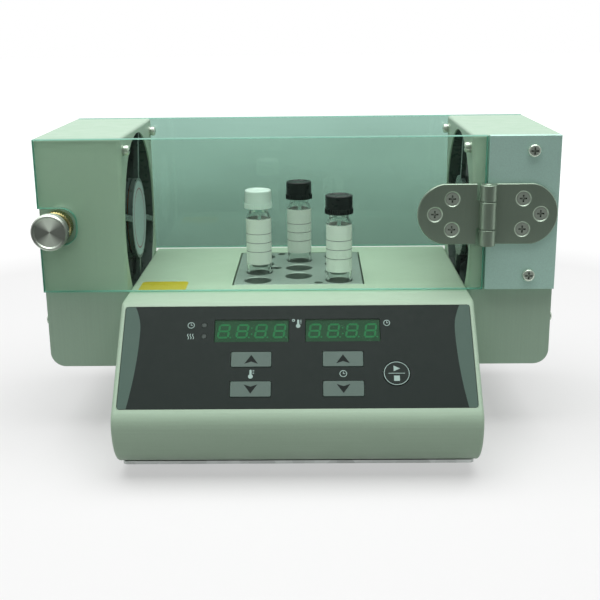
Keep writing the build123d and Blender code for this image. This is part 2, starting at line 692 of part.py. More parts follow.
def housing_screws():
    """Screws from inside the console through both walls, with nuts in the housings."""
    pieces = []
    for side in (-1, 1):
        for y, z in SIDE_BOLTS:
            head = (side * (HALF_WIDTH - SHELL_WALL), y, z)
            pieces.append(Plane(origin=head, z_dir=(-side, 0, 0)) * pan_screw(SCREW_RADIUS, 8, 4.0, 2.6))
            nut = (side * (HOUSING_INNER_X + SHEET), y, z)
            pieces.append(Plane(origin=nut, z_dir=(-side, 0, 0)) * hex_nut())
    return group(pieces)


def cable_grommets():
    """Rubber bushings where the fan cables pass from the housings into the console."""
    y, z, radius = CABLE_HOLE
    start = HALF_WIDTH - SHELL_WALL
    span = HOUSING_INNER_X + SHEET - start
    outline = [
        (radius - 2, -1.2), (radius + 1.5, -1.2), (radius + 1.5, 0), (radius, 0), (radius, span),
        (radius + 1.5, span), (radius + 1.5, span + 1.2), (radius - 2, span + 1.2),
    ]
    bushing = turned(outline)
    return group([Plane(origin=(side * start, y, z), z_dir=(side, 0, 0)) * bushing for side in (-1, 1)])


# ---- fans: modelled along +Z from the blowing side, then laid on their sides ----
def place_fan(side, shape):
    inner_face = side * (HOUSING_INNER_X + SHEET)
    return Pos(inner_face, FAN_Y, FAN_Z) * Rot(0, 90 * side, 0) * shape


def fan_frame():
    """Square flanges on a round duct, with a hub held by four slanted struts."""
    flange = extrude(RectangleRounded(FAN_SIZE, FAN_SIZE, 6), amount=4)
    seat = chamfer(flange.faces().sort_by(Axis.Z)[0].edges(), 1.2)
    frame = seat + Pos(0, 0, FAN_DEPTH - 4) * flange + disc(FAN_SIZE / 2 - 0.6, FAN_DEPTH - 1, 2)
    frame -= disc(FAN_BORE_RADIUS, FAN_DEPTH + 1, -1)
    for x, y in FAN_BOLTS:
        frame -= Pos(x, y, 0) * disc(SCREW_HOLE, FAN_DEPTH + 1, -1)
    strut = Pos(41, 8, 1.5) * Rot(0, 0, 14) * Box(35, 4, 3)
    frame += [Rot(0, 0, 90 * i) * strut for i in range(4)]
    frame += disc(FAN_HUB_RADIUS, 3, 0)
    bearing = disc(4, 18, 2.9) - disc(1.55, 19, 3.2)
    return frame + bearing


def blade_section(radius, chord, pitch, camber):
    """Thin curved blade section, square to the radius, at a given pitch to the turning plane."""
    seat = Plane(origin=(radius, 0, 12.6), x_dir=(0, 1, 0), z_dir=(1, 0, 0))
    half = chord / 2
    upper = ThreePointArc((-half, 0), (0, camber + 0.9), (half, 0))
    lower = ThreePointArc((half, 0), (0, camber - 0.9), (-half, 0))
    return seat * Rot(0, 0, pitch) * make_face([upper, lower])


def fan_rotor():
    """Hub cup with its shaft and swept, twisted blades that flatten towards the tip."""
    cup = disc(FAN_HUB_RADIUS, 21.5, 3.8) - disc(FAN_HUB_RADIUS - 1.5, 20, 3)
    cup = fillet(cup.faces().sort_by(Axis.Z)[-1].edges(), 1.2)
    shaft = disc(1.5, 20.5, 3.5)
    blade = loft([
        blade_section(FAN_HUB_RADIUS - 1.0, 21, 46, 1.8),
        blade_section(41, 25, 36, 2.6),
        blade_section(58, 31, 27, 3.2),
    ])
    blade &= disc(FAN_BORE_RADIUS - 1.4, 25, 0) - disc(FAN_HUB_RADIUS - 0.8, 26, -1)
    return cup + shaft + [Rot(0, 0, 360 * i / FAN_BLADES) * blade for i in range(FAN_BLADES)]


def fan_stators():
    """Coil packs on the bearing tubes, inside the rotor cups."""
    pack = disc(22, 17.5, 3.6) - disc(4, 20, 0)
    return group([place_fan(side, pack) for side in (-1, 1)])


def fan_screws():
    """Small-headed screws on a flat and a spring washer, with nuts behind the fan flange."""
    washers = disc(3.5, 0.7, 0) + disc(3.0, 1.6, 0.7)
    screw = washers + Pos(0, 0, 1.6) * pan_screw(SCREW_RADIUS, 11.5, 3.2, 2.6)
    pieces = []
    for side in (-1, 1):
        for y, z in FAN_BOLTS:
            wall = (side * HOUSING_INNER_X, FAN_Y + y, FAN_Z + z)
            seat = Plane(origin=wall, z_dir=(-side, 0, 0))
            pieces.append(seat * screw)
            pieces.append(seat * Pos(0, 0, -SHEET - 4) * hex_nut())
    return group(pieces)


# ---- glass ----
def pane(left, right, thickness, front_y):
    """Upright glass sheet between two X positions."""
    low = (left, front_y, GLASS_BOTTOM_Z)
    return box_between(low, (right, front_y + thickness, HOUSING_TOP_Z))


def door_glass():
    """Door sheet with a rounded notch, open at the free edge, that clears the knob."""
    glass = pane(-HOUSING_OUTER_X, DOOR_RIGHT_X, DOOR_THICKNESS, DOOR_FRONT_Y)
    reach = NOTCH_END_X + HOUSING_OUTER_X
    notch = Box(reach * 2, DOOR_THICKNESS * 3, NOTCH_HEIGHT)
    notch = fillet(notch.edges().filter_by(Axis.Y), NOTCH_CORNER)
    glass -= Pos(-HOUSING_OUTER_X, DOOR_FRONT_Y, KNOB_Z) * notch
    flats = glass.faces().filter_by(Axis.Y)
    glass = chamfer([e for f in flats for e in f.edges()], GLASS_ARRIS)
    for x, rise in DOOR_LEAF_SCREWS:
        glass -= rod((x, DOOR_FRONT_Y - 1, HINGE_Z + rise), (0, 1, 0), 2.4, DOOR_THICKNESS + 2)
    return glass


def rear_glass():
    glass = pane(-HOUSING_OUTER_X, HOUSING_OUTER_X, 5.0, HOUSING_BACK_Y)
    flats = glass.faces().filter_by(Axis.Y)
    glass = chamfer([e for f in flats for e in f.edges()], GLASS_ARRIS)
    for x, z in REAR_SCREWS:
        glass -= rod((x, HOUSING_BACK_Y - 1, z), (0, 1, 0), 2.4, 8)
    return glass


def rear_glass_screws():
    pieces = []
    for x, z in REAR_SCREWS:
        seat = Plane(origin=(x, HOUSING_BACK_Y + 5, z), z_dir=(0, 1, 0))
        pieces.append(seat * (Pos(0, 0, 0.6) * pan_screw(SCREW_RADIUS, 11, 3.9, 2.6) + disc(5, 0.6, 0)))
        pieces.append(seat * Pos(0, 0, -5 - SHEET) * hex_nut())
    return group(pieces)


# ---- hinge and its plate ----
def hinge_plate():
    """Plain plate on the right housing, level with the door, that carries the hinge."""
    low = (PLATE_LEFT_X, DOOR_FRONT_Y, GLASS_BOTTOM_Z)
    plate = box_between(low, (HOUSING_OUTER_X, HOUSING_FRONT_Y, HOUSING_TOP_Z))
    plate = chamfer(plate.faces().sort_by(Axis.Y)[0].edges(), 0.3)
    places = [(PLATE_SCREW_X, z) for z in PLATE_SCREW_Z]
    places += [(x, HINGE_Z + rise) for x, rise in FIXED_LEAF_SCREWS]
    for x, z in places:
        plate -= rod((x, DOOR_FRONT_Y - 1, z), (0, 1, 0), SCREW_HOLE, 8)
    return plate


def leaf_flat(root_x, shoulder_x, tip_x):
    """Flat of a leaf: straight edges to the shoulder, then one round end."""
    half = HINGE_HEIGHT / 2
    sides = Polyline((shoulder_x, half), (root_x, half), (root_x, -half), (shoulder_x, -half))
    end = ThreePointArc((shoulder_x, -half), (tip_x, 0), (shoulder_x, half))
    face = make_face([sides, end])
    face = fillet([v for v in face.vertices() if abs(v.X - shoulder_x) < 0.01], 5)
    front = DOOR_FRONT_Y - LEAF_THICKNESS
    leaf = Pos(0, front, HINGE_Z) * extrude(Plane.XZ * face, amount=-LEAF_THICKNESS)
    rim = leaf.faces().sort_by(Axis.Y)[0].edges()
    return chamfer([e for e in rim if abs(e.center().X - root_x) > 1], 0.4)


def knuckle(low, high):
    """Rolled barrel section between two heights above the hinge's lower end."""
    base = HINGE_Z - HINGE_HEIGHT / 2
    roll = rod((HINGE_X, HINGE_AXIS_Y, base + low), (0, 0, 1), BARREL_RADIUS, high - low)
    return chamfer(roll.edges().filter_by(GeomType.CIRCLE), 0.3)


def knuckle_web(low, high, root_x):
    """Tongue that joins a knuckle to its leaf behind the barrel."""
    base = HINGE_Z - HINGE_HEIGHT / 2
    xs = sorted((HINGE_X, root_x))
    front = DOOR_FRONT_Y - LEAF_THICKNESS
    back = DOOR_FRONT_Y - 0.25
    return box_between((xs[0], front, base + low), (xs[1], back, base + high))


def finish_leaf(leaf, screws):
    """Pin bore and countersunk screw holes."""
    leaf -= rod((HINGE_X, HINGE_AXIS_Y, HINGE_Z - 40), (0, 0, 1), PIN_RADIUS + PIN_CLEARANCE, 80)
    for x, rise in screws:
        seat = Plane(origin=(x, DOOR_FRONT_Y - LEAF_THICKNESS, HINGE_Z + rise), z_dir=(0, -1, 0))
        leaf -= seat * turned([(0, -4), (2.4, -4), (2.4, -1.9), (4.8, 0), (4.8, 1), (0, 1)])
    return leaf


def hinge_fixed_leaf():
    root = HINGE_X + 4.8
    leaf = leaf_flat(root, 144.2, 159.3)
    for low, high in ((0, KNUCKLE_END), (HINGE_HEIGHT - KNUCKLE_END, HINGE_HEIGHT)):
        leaf += knuckle(low, high)
        leaf += knuckle_web(low, high, root + 0.5)
    return finish_leaf(leaf, FIXED_LEAF_SCREWS)


def hinge_door_leaf():
    root = HINGE_X - 6.5
    leaf = leaf_flat(root, 89.6, 73.8)
    low = KNUCKLE_END + 0.3
    high = HINGE_HEIGHT - KNUCKLE_END - 0.3
    leaf += knuckle(low, high)
    leaf += knuckle_web(low, high, root - 0.5)
    return finish_leaf(leaf, DOOR_LEAF_SCREWS)


def hinge_pin():
    base = HINGE_Z - HINGE_HEIGHT / 2
    pin = rod((HINGE_X, HINGE_AXIS_Y, base - 0.6), (0, 0, 1), PIN_RADIUS, HINGE_HEIGHT + 1.2)
    return chamfer(pin.edges().filter_by(GeomType.CIRCLE), 0.4)


def leaf_screws(places, length, nut_depth):
    """Countersunk screws through a leaf, with nuts behind what it is fixed to."""
    pieces = []
    for x, rise in places:
        seat = Plane(origin=(x, DOOR_FRONT_Y - LEAF_THICKNESS, HINGE_Z + rise), z_dir=(0, -1, 0))
        pieces.append(seat * countersunk_screw(SCREW_RADIUS, length, 4.0, 0.35))
        pieces.append(seat * Pos(0, 0, -nut_depth) * hex_nut())
    return group(pieces)


def hinge_fixed_screws():
    return leaf_screws(FIXED_LEAF_SCREWS, 13, LEAF_THICKNESS + HOUSING_FRONT_Y - DOOR_FRONT_Y + SHEET)


def hinge_door_screws():
    """The same screws through the glass, each with a soft washer under its nut."""
    screws = leaf_screws(DOOR_LEAF_SCREWS, 12, LEAF_THICKNESS + DOOR_THICKNESS + 0.8)
    washers = []
    for x, rise in DOOR_LEAF_SCREWS:
        seat = (x, DOOR_FRONT_Y + DOOR_THICKNESS, HINGE_Z + rise)
        washers.append(rod(seat, (0, 1, 0), 5.0, 0.8) - rod(seat, (0, 1, 0), 2.1, 2))
    return group([screws] + washers)


def plate_screws():
    pieces = []
    for z in PLATE_SCREW_Z:
        seat = Plane(origin=(PLATE_SCREW_X, DOOR_FRONT_Y, z), z_dir=(0, -1, 0))
        pieces.append(seat * pan_screw(SCREW_RADIUS, 11, 3.9, 2.4))
        nut_z = DOOR_FRONT_Y - HOUSING_FRONT_Y - SHEET
        pieces.append(seat * Pos(0, 0, nut_z) * hex_nut())
    return group(pieces)


# ---- knob ----
def place_knob(shape):
    """Knob pieces are turned about Z with +Z pointing out of the front."""
    return Plane(origin=(KNOB_X, HOUSING_FRONT_Y, KNOB_Z), z_dir=(0, -1, 0)) * shape


def knob_collar():
    """Knurled ring that stands through the notch of the door."""
    ring = extrude(ribbed_outline(COLLAR_RADIUS, COLLAR_RADIUS - 0.5, COLLAR_TEETH), amount=COLLAR_FRONT)
    bevel = turned([(0, 0), (COLLAR_RADIUS + 0.1, 0), (COLLAR_RADIUS + 0.1, COLLAR_FRONT - 0.9),
                    (COLLAR_RADIUS - 1.0, COLLAR_FRONT), (0, COLLAR_FRONT)])
    return place_knob((ring & bevel) - disc(STUD_RADIUS + 0.1, 30, -1))


def knob_stud():
    """Threaded rod through the collar and the housing wall, with its nut."""
    rod_body = disc(STUD_RADIUS, COLLAR_FRONT + 8.5, -8)
    nut = Pos(0, 0, -SHEET) * hex_nut(10, 4, STUD_RADIUS + 0.05)
    return group([place_knob(rod_body), place_knob(nut)])


def knob_insert():
    """Threaded bush inside the knob."""
    start = COLLAR_FRONT + 3.2
    return place_knob(disc(4.2, start + 7.5, start) - disc(STUD_RADIUS + 0.05, 60, 0))


def knob():
    """Turned head on a neck, with a dished face inside a raised rim."""
    neck_z = COLLAR_FRONT + 2.6
    back_z = KNOB_FRONT - 8.0
    outline = [
        (4.25, neck_z), (5.6, neck_z), (5.6, back_z - 1.0), (8.8, back_z), (KNOB_RADIUS, back_z + 2.0),
        (KNOB_RADIUS, KNOB_FRONT - 1.2), (KNOB_RADIUS - 0.8, KNOB_FRONT), (KNOB_RADIUS - 1.8, KNOB_FRONT),
        (KNOB_RADIUS - 2.5, KNOB_FRONT - 0.8), (0, KNOB_FRONT - 2.2), (0, neck_z + 9.0), (4.25, neck_z + 9.0),
    ]
    return place_knob(turned(outline))


# ---- rear panel fittings ----
def on_back(x, z, shape):
    """Rear fittings are modelled with +Z pointing out of the back and +Y up."""
    seat = Plane(origin=(x, CONSOLE_BACK_Y, z), x_dir=(-1, 0, 0), z_dir=(0, 1, 0))
    return seat * shape


def power_inlet():
    """Appliance inlet: flange, recess with three blades, and a bay for the fuse drawer."""
    body = slab(34, 42, 1.5, 0, 2) + slab(28, 36, 0.1, -22, 1)
    recess = slab(24.4, 17.4, 3, -16, 1.5)
    body -= Pos(0, -6.5, 0) * recess
    body -= Pos(0, 10.5, 0) * slab(23.0, 9.0, 3, -20.5, 0.5)
    blades = []
    for x, y in ((-7, -8.5), (7, -8.5), (0, -4.5)):
        blades.append(Pos(x, y, 0) * slab(2.2, 4.4, -2, -16.0, 0.4))
    return group([on_back(INLET_X, INLET_Z, piece) for piece in [body] + blades])


def fuse_drawer():
    """Small drawer with a finger notch, holding two glass fuses."""
    tray = slab(22.4, 8.4, 1.5, -19.5, 0.4)
    tray -= Pos(0, 2.0, -9) * Box(19.6, 6.4, 16)
    tray -= Pos(0, -4.2, 1.5) * Box(8, 2.4, 2.2)
    fuses = [Pos(x, 1.5, -9) * Cylinder(2.4, 15.6) for x in (-5, 5)]
    return group([on_back(INLET_X, INLET_Z, Pos(0, 10.5, 0) * piece) for piece in [tray] + fuses])


def switch_frame():
    """Bezel and hollow body of the power switch, with two pivot pins."""
    frame = slab(16, 23.4, 1.5, 0, 1) + slab(13, 20, 0.1, -14, 0.5)
    frame -= Pos(0, 0, -5) * Box(10.6, 18.6, 16)
    pins = [Pos(x, 0, SWITCH_PIVOT) * Rot(0, 90, 0) * Cylinder(1.0, 1.2) for x in (-5.0, 5.0)]
    return on_back(SWITCH_X, SWITCH_Z, frame + pins)


def power_rocker():
    """Rocker with a shallow V face, resting with its lower half pressed in."""
    edge_z = SWITCH_FACE + 12 * tan(radians(SWITCH_TILT))
    face = Polyline((-12, -4), (12, -4), (12, edge_z), (0, SWITCH_FACE), (-12, edge_z), close=True)
    profile = make_face(face) & Circle(SWITCH_RADIUS)
    rocker = extrude(Plane.YZ * profile, amount=4.9, both=True)
    rocker -= Rot(0, 90, 0) * Cylinder(1.06, 20)
    return on_back(SWITCH_X, SWITCH_Z, Pos(0, 0, SWITCH_PIVOT) * Rot(SWITCH_TILT, 0, 0) * rocker)


def power_board():
    """Supply board on the base plate: transformer, storage capacitor and heat sink."""
    floor = BASE_Z + BASE_THICKNESS
    board = box_between((-98, -60, floor + 6), (-58, 70, floor + 7.6))
    for y in (-54, 64):
        for x in (-93, -63):
            board += rod((x, y, floor), (0, 0, 1), 2.5, 6.5)
    board += box_between((-94, -44, floor + 7), (-66, -12, floor + 32))
    board += rod((-78, 6, floor + 7), (0, 0, 1), 8, 22)
    board += box_between((-92, 26, floor + 7), (-86, 58, floor + 28))
    return board


NODES = {
    "console_shell": console_shell,
    "base_plate": base_plate,
    "feet": feet,
    "case_screws": case_screws,
    "membrane_overlay": membrane_overlay,
    "display_windows": display_windows,
    "display_modules": display_modules,
    "indicator_leds": indicator_leds,
    "control_board": control_board,
    "board_screws": board_screws,
    "key_start_stop": start_key,
    "heating_block": heating_block,
    "well_liner": well_liner,
    "heater_plate": heater_plate,
    "cartridge_heaters": cartridge_heaters,
    "temperature_probe": temperature_probe,
    "insulation_jacket": insulation_jacket,
    "heater_bracket": heater_bracket,
    "power_board": power_board,
    "left_housing": left_housing,
    "right_housing": right_housing,
    "right_side_cover": side_cover,
    "left_side_cover": lambda: mirror(side_cover(), about=Plane.YZ),
    "housing_screws": housing_screws,
    "cable_grommets": cable_grommets,
    "left_fan_frame": lambda: place_fan(-1, fan_frame()),
    "right_fan_frame": lambda: place_fan(1, fan_frame()),
    "left_fan_rotor": lambda: place_fan(-1, fan_rotor()),
    "right_fan_rotor": lambda: place_fan(1, fan_rotor()),
    "fan_stators": fan_stators,
    "fan_screws": fan_screws,
    "door_glass": door_glass,
    "rear_glass": rear_glass,
    "rear_glass_screws": rear_glass_screws,
    "hinge_plate": hinge_plate,
    "plate_screws": plate_screws,
    "hinge_fixed_leaf": hinge_fixed_leaf,
    "hinge_fixed_screws": hinge_fixed_screws,
    "hinge_door_leaf": hinge_door_leaf,
    "hinge_door_screws": hinge_door_screws,
    "hinge_pin": hinge_pin,
    "knob_collar": knob_collar,
    "knob_stud": knob_stud,
    "knob_insert": knob_insert,
    "knob": knob,
    "power_inlet": power_inlet,
    "fuse_drawer": fuse_drawer,
    "switch_frame": switch_frame,
    "power_rocker": power_rocker,
}

os.makedirs("parts", exist_ok=True)
for name, make in NODES.items():
    export_step(make(), f"parts/{name}.step")
for name, (x, v) in KEYS.items():
    export_step(arrow_key(x, v), f"parts/{name}.step")
for name in VIALS:
    export_step(place_vial(name, vial()), f"parts/{name}.step")
    export_step(place_vial(name, Pos(0, 0, CAP_SEAT) * vial_cap()), f"parts/{name}_cap.step")
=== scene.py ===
from math import cos, pi, radians, sin

import bpy
from mathutils import Matrix, Vector


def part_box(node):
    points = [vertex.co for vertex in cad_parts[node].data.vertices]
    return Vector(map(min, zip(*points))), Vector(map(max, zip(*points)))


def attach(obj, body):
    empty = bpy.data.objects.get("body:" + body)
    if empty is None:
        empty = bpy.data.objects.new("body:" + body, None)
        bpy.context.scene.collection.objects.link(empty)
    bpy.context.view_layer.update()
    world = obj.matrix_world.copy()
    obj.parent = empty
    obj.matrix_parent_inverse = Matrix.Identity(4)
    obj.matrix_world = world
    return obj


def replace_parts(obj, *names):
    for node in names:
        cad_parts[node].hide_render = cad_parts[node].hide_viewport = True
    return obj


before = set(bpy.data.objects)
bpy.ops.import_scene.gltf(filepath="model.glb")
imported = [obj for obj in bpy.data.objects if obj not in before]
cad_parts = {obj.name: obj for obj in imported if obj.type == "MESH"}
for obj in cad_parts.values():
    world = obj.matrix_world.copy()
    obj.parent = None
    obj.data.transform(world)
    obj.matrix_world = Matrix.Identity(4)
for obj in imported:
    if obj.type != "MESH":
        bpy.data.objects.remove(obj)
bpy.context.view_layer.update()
bpy.ops.object.select_all(action="DESELECT")
MM = 0.001


# ---- console shell ----
# A thick wedge-fronted casing with a flat deck and a sloping panel. It is sprayed outside with a
# pale grey-green enamel that dries to a fine orange peel and has picked up a few specks of dust.

def new_finish(name):
    """A material with one principled shader, to which the functions below add their patterns."""
    material = bpy.data.materials.new(name)
    material.use_nodes = True
    shader = material.node_tree.nodes["Principled BSDF"]
    return material, shader


def place(shader, kind, **inputs):
    """Adds a node beside the shader and sets its inputs by name."""
    node = shader.id_data.nodes.new("ShaderNode" + kind)
    for name, value in inputs.items():
        node.inputs[name.replace("_", " ")].default_value = value
    return node


def join(source, target):
    target.id_data.links.new(source, target)


def surface_point(shader, stretch=(1, 1, 1), centre=(0, 0, 0), turn=(0, 0, 0)):
    """The object's own coordinates, seen from a centre and stretched along the axes."""
    moved = place(shader, "Mapping", Location=centre, Rotation=turn, Scale=stretch)
    moved.vector_type = "TEXTURE"
    join(place(shader, "TexCoord").outputs["Object"], moved.inputs["Vector"])
    return moved.outputs["Vector"]


def grain(shader, size, detail=2.0, stretch=(1, 1, 1)):
    """Cloudy pattern whose features are about size metres wide, times the stretch."""
    noise = place(shader, "TexNoise", Scale=1 / size, Detail=detail)
    join(surface_point(shader, stretch), noise.inputs["Vector"])
    return noise.outputs["Fac"]


def between(shader, pattern, low, high, start=0.3, end=0.7):
    """Turns a pattern into a number that runs from low to high."""
    scaled = place(shader, "MapRange", From_Min=start, From_Max=end, To_Min=low, To_Max=high)
    join(pattern, scaled.inputs["Value"])
    return scaled.outputs["Result"]


def worked_out(shader, operation, *values):
    """One step of arithmetic on patterns and plain numbers."""
    step = place(shader, "Math")
    step.operation = operation
    for value, socket in zip(values, step.inputs):
        if isinstance(value, float):
            socket.default_value = value
        else:
            join(value, socket)
    return step.outputs[0]


def blend_colours(shader, pattern, first, second):
    """Colour that goes from first to second with a pattern or by a fixed share."""
    mix = place(shader, "Mix")
    mix.data_type = "RGBA"
    if isinstance(pattern, float):
        mix.inputs["Factor"].default_value = pattern
    else:
        join(pattern, mix.inputs["Factor"])
    for socket, colour in ((mix.inputs[6], first), (mix.inputs[7], second)):
        if isinstance(colour, tuple):
            socket.default_value = (*colour, 1)
        else:
            join(colour, socket)
    return mix.outputs[2]


def emboss(shader, pattern, depth):
    """Bump of a depth in metres, laid over the bumps that are already there."""
    bump = place(shader, "Bump", Strength=1.0, Distance=depth)
    join(pattern, bump.inputs["Height"])
    if shader.inputs["Normal"].is_linked:
        join(shader.inputs["Normal"].links[0].from_socket, bump.inputs["Normal"])
    join(bump.outputs["Normal"], shader.inputs["Normal"])


def darker(colour, share):
    return tuple(channel * share for channel in colour)


def specks(shader, spacing, radius):
    """Sparse round dots: one in every other cell of a given spacing."""
    cells = place(shader, "TexVoronoi", Scale=1 / spacing)
    join(surface_point(shader), cells.inputs["Vector"])
    dots = between(shader, cells.outputs["Distance"], 1, 0, radius / spacing, 1.6 * radius / spacing)
    chosen = place(shader, "SeparateColor")
    join(cells.outputs["Color"], chosen.inputs[0])
    some = between(shader, chosen.outputs[0], 0, 1, 0.55, 0.56)
    return worked_out(shader, "MULTIPLY", dots, some)


def enamel(name, colour, spray_way):
    """Sprayed enamel with its orange peel, dust specks and faint lines along the gun's way."""
    material, shader = new_finish(name)
    clouds = blend_colours(shader, grain(shader, 0.06, 4), darker(colour, 0.92), colour)
    peel = blend_colours(shader, grain(shader, 0.0014, 3), darker(colour, 0.90), colour)
    mixed = blend_colours(shader, grain(shader, 0.004, 2), clouds, peel)
    lines = between(shader, grain(shader, 0.0011, 2, spray_way), 0, 0.5)
    sprayed = blend_colours(shader, lines, mixed, darker(colour, 0.88))
    dusty = blend_colours(shader, specks(shader, 0.016, 0.00022), sprayed, darker(colour, 0.45))
    join(dusty, shader.inputs["Base Color"])
    join(between(shader, grain(shader, 0.012), 0.40, 0.54), shader.inputs["Roughness"])
    shader.inputs["Specular IOR Level"].default_value = 0.35
    emboss(shader, grain(shader, 0.0014), 0.00007)
    return material


def dress(material, *names):
    """Gives frame nodes their finish."""
    for name in names:
        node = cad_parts[name]
        node.data.materials.clear()
        node.data.materials.append(material)


SPRAYED_ACROSS = (50, 1, 1)
SPRAYED_UPWARDS = (1, 1, 50)
shell_enamel = enamel("shell_enamel", (0.43, 0.59, 0.44), SPRAYED_ACROSS)
dress(shell_enamel, "console_shell")


# ---- base plate and feet ----
# The console stands on a zinc-plated sheet with cooling slots, screwed up into the corner posts,
# and on four black rubber feet.

CRYSTALS_PER_METRE = 110


def plated_sheet(name, colour):
    """Zinc on steel: large dull crystals over a fine rolled grain."""
    material, shader = new_finish(name)
    crystals = place(shader, "TexVoronoi", Scale=CRYSTALS_PER_METRE)
    join(surface_point(shader), crystals.inputs["Vector"])
    tone = place(shader, "SeparateColor")
    join(crystals.outputs["Color"], tone.inputs[0])
    spangle = blend_colours(shader, tone.outputs[0], darker(colour, 0.78), colour)
    join(spangle, shader.inputs["Base Color"])
    join(between(shader, tone.outputs[1], 0.32, 0.5), shader.inputs["Roughness"])
    shader.inputs["Metallic"].default_value = 0.9
    emboss(shader, grain(shader, 0.0006, 2, (8, 1, 1)), 0.00002)
    return material


def soft_rubber(name, colour):
    material, shader = new_finish(name)
    dull = blend_colours(shader, grain(shader, 0.004, 3), darker(colour, 0.6), colour)
    join(dull, shader.inputs["Base Color"])
    join(between(shader, grain(shader, 0.002), 0.68, 0.85), shader.inputs["Roughness"])
    emboss(shader, grain(shader, 0.0008), 0.00005)
    return material


zinc_sheet = plated_sheet("zinc_sheet", (0.58, 0.62, 0.60))
black_rubber = soft_rubber("black_rubber", (0.028, 0.030, 0.029))
dress(zinc_sheet, "base_plate", "heater_bracket")
dress(black_rubber, "feet", "cable_grommets")


# ---- control panel film ----
# A printed polyester film lies in a shallow recess of the panel: charcoal in the middle, with a
# grey-green crescent at each end. All print is thin ink on its face.

def film(name, colour, rough=0.34, gloss=0.5):
    """Fine-textured polyester film; its gloss is the strength of the surface's reflection."""
    material, shader = new_finish(name)
    fibre = blend_colours(shader, grain(shader, 0.0008, 2), darker(colour, 0.84), colour)
    clouds = blend_colours(shader, grain(shader, 0.03, 3), darker(colour, 0.88), colour)
    join(blend_colours(shader, grain(shader, 0.0016, 1), clouds, fibre), shader.inputs["Base Color"])
    join(between(shader, grain(shader, 0.003), rough, rough + 0.12), shader.inputs["Roughness"])
    shader.inputs["Specular IOR Level"].default_value = gloss
    emboss(shader, grain(shader, 0.0005, 1), 0.00001)
    return material


charcoal_film = film("charcoal_film", (0.016, 0.026, 0.022), 0.38, 0.12)
crescent_film = film("crescent_film", (0.080, 0.140, 0.112), 0.42, 0.2)
dress(charcoal_film, "membrane_overlay", "key_start_stop")
key_film = film("key_film", (0.102, 0.160, 0.134), 0.38, 0.3)
dress(key_film, "key_temp_up", "key_temp_down", "key_time_up", "key_time_down")

film_low, film_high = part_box("membrane_overlay")
FILM_THICKNESS = 0.4 * MM
PANEL_TURN = Matrix.Rotation(radians(45), 4, "X")
FILM_FACE = Matrix.Translation((0, 0, FILM_THICKNESS / 2))
PANEL_SEAT = Matrix.Translation((film_low + film_high) / 2) @ PANEL_TURN @ FILM_FACE
INK = 0.03 * MM


def arc(centre, radius, start, end, steps=24):
    """Points along an arc, with angles in degrees."""
    points = []
    for i in range(steps + 1):
        angle = radians(start + (end - start) * i / steps)
        points.append((centre[0] + radius * cos(angle), centre[1] + radius * sin(angle)))
    return points


def cut_shape(name, loops, thickness, seat, body, material):
    """Flat piece cut to closed outlines in millimetres, laid on a seat with its back at the seat."""
    outline = bpy.data.curves.new(name, "CURVE")
    outline.dimensions = "2D"
    outline.fill_mode = "BOTH"
    outline.extrude = thickness / 2
    for loop in loops:
        spline = outline.splines.new("POLY")
        spline.points.add(len(loop) - 1)
        for point, (x, y) in zip(spline.points, loop):
            point.co = (x * MM, y * MM, 0, 1)
        spline.use_cyclic_u = True
    piece = bpy.data.objects.new(name, outline)
    bpy.context.collection.objects.link(piece)
    bpy.context.view_layer.objects.active = piece
    piece.select_set(True)
    bpy.ops.object.convert(target="MESH")
    bpy.ops.object.mode_set(mode="EDIT")
    bpy.ops.mesh.select_all(action="SELECT")
    bpy.ops.mesh.remove_doubles(threshold=1e-6)
    bpy.ops.mesh.normals_make_consistent(inside=False)
    bpy.ops.object.mode_set(mode="OBJECT")
    piece = bpy.context.object
    piece.data.transform(seat @ Matrix.Translation((0, 0, thickness / 2)))
    return keep(piece, name, body, material)


def keep(piece, name, body, material):
    """Names a finished piece, gives it its material and lets it ride on its body."""
    piece.name = name
    piece.data.name = name
    piece.data.materials.clear()
    piece.data.materials.append(material)
    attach(piece, body)
    bpy.ops.object.select_all(action="DESELECT")
    return piece


def on_film(x, v, lift=0.0):
    """Seat on the film at a place in millimetres from its centre, v running up the slope."""
    return PANEL_SEAT @ Matrix.Translation((x * MM, v * MM, lift * MM))


FILM_WIDTH = 208.0
FILM_HEIGHT = 67.2
CRESCENT_BULGE = 94.0
CRESCENT_TOP = 97.9
CRESCENT_FOOT = 98.6
CRESCENT_RISE = 16.7
CRESCENT_STEPS = 32


def crescent(side):
    """Outline between the film's end and a shallow arc that bulges towards the middle."""
    half_width = FILM_WIDTH / 2 - 0.3
    half_height = FILM_HEIGHT / 2 - 0.1
    edge = []
    for i in range(CRESCENT_STEPS + 1):
        v = -half_height + i * 2 * half_height / CRESCENT_STEPS
        above = v - CRESCENT_RISE
        if above < 0:
            away = above / (half_height + CRESCENT_RISE)
            depth = CRESCENT_FOOT - CRESCENT_BULGE
        else:
            away = above / (half_height - CRESCENT_RISE)
            depth = CRESCENT_TOP - CRESCENT_BULGE
        edge.append((side * (CRESCENT_BULGE + depth * away * away), v))
    return [(side * half_width, -half_height)] + edge + [(side * half_width, half_height)]


for side, end_name in ((-1, "left"), (1, "right")):
    cut_shape(f"crescent_print_{end_name}", [crescent(side)], INK, PANEL_SEAT, "base", crescent_film)


# ---- displays ----
# Behind two tinted windows stand the faces of four-digit modules. Their seven-segment digits are
# unlit, so they show only as slightly paler bars under the green tint.

def tinted_window(name, colour, alpha):
    material, shader = new_finish(name)
    tint = blend_colours(shader, grain(shader, 0.02), darker(colour, 0.9), colour)
    join(tint, shader.inputs["Base Color"])
    shader.inputs["Alpha"].default_value = alpha
    shader.inputs["Specular IOR Level"].default_value = 0.16
    join(between(shader, grain(shader, 0.004), 0.34, 0.46), shader.inputs["Roughness"])
    return material


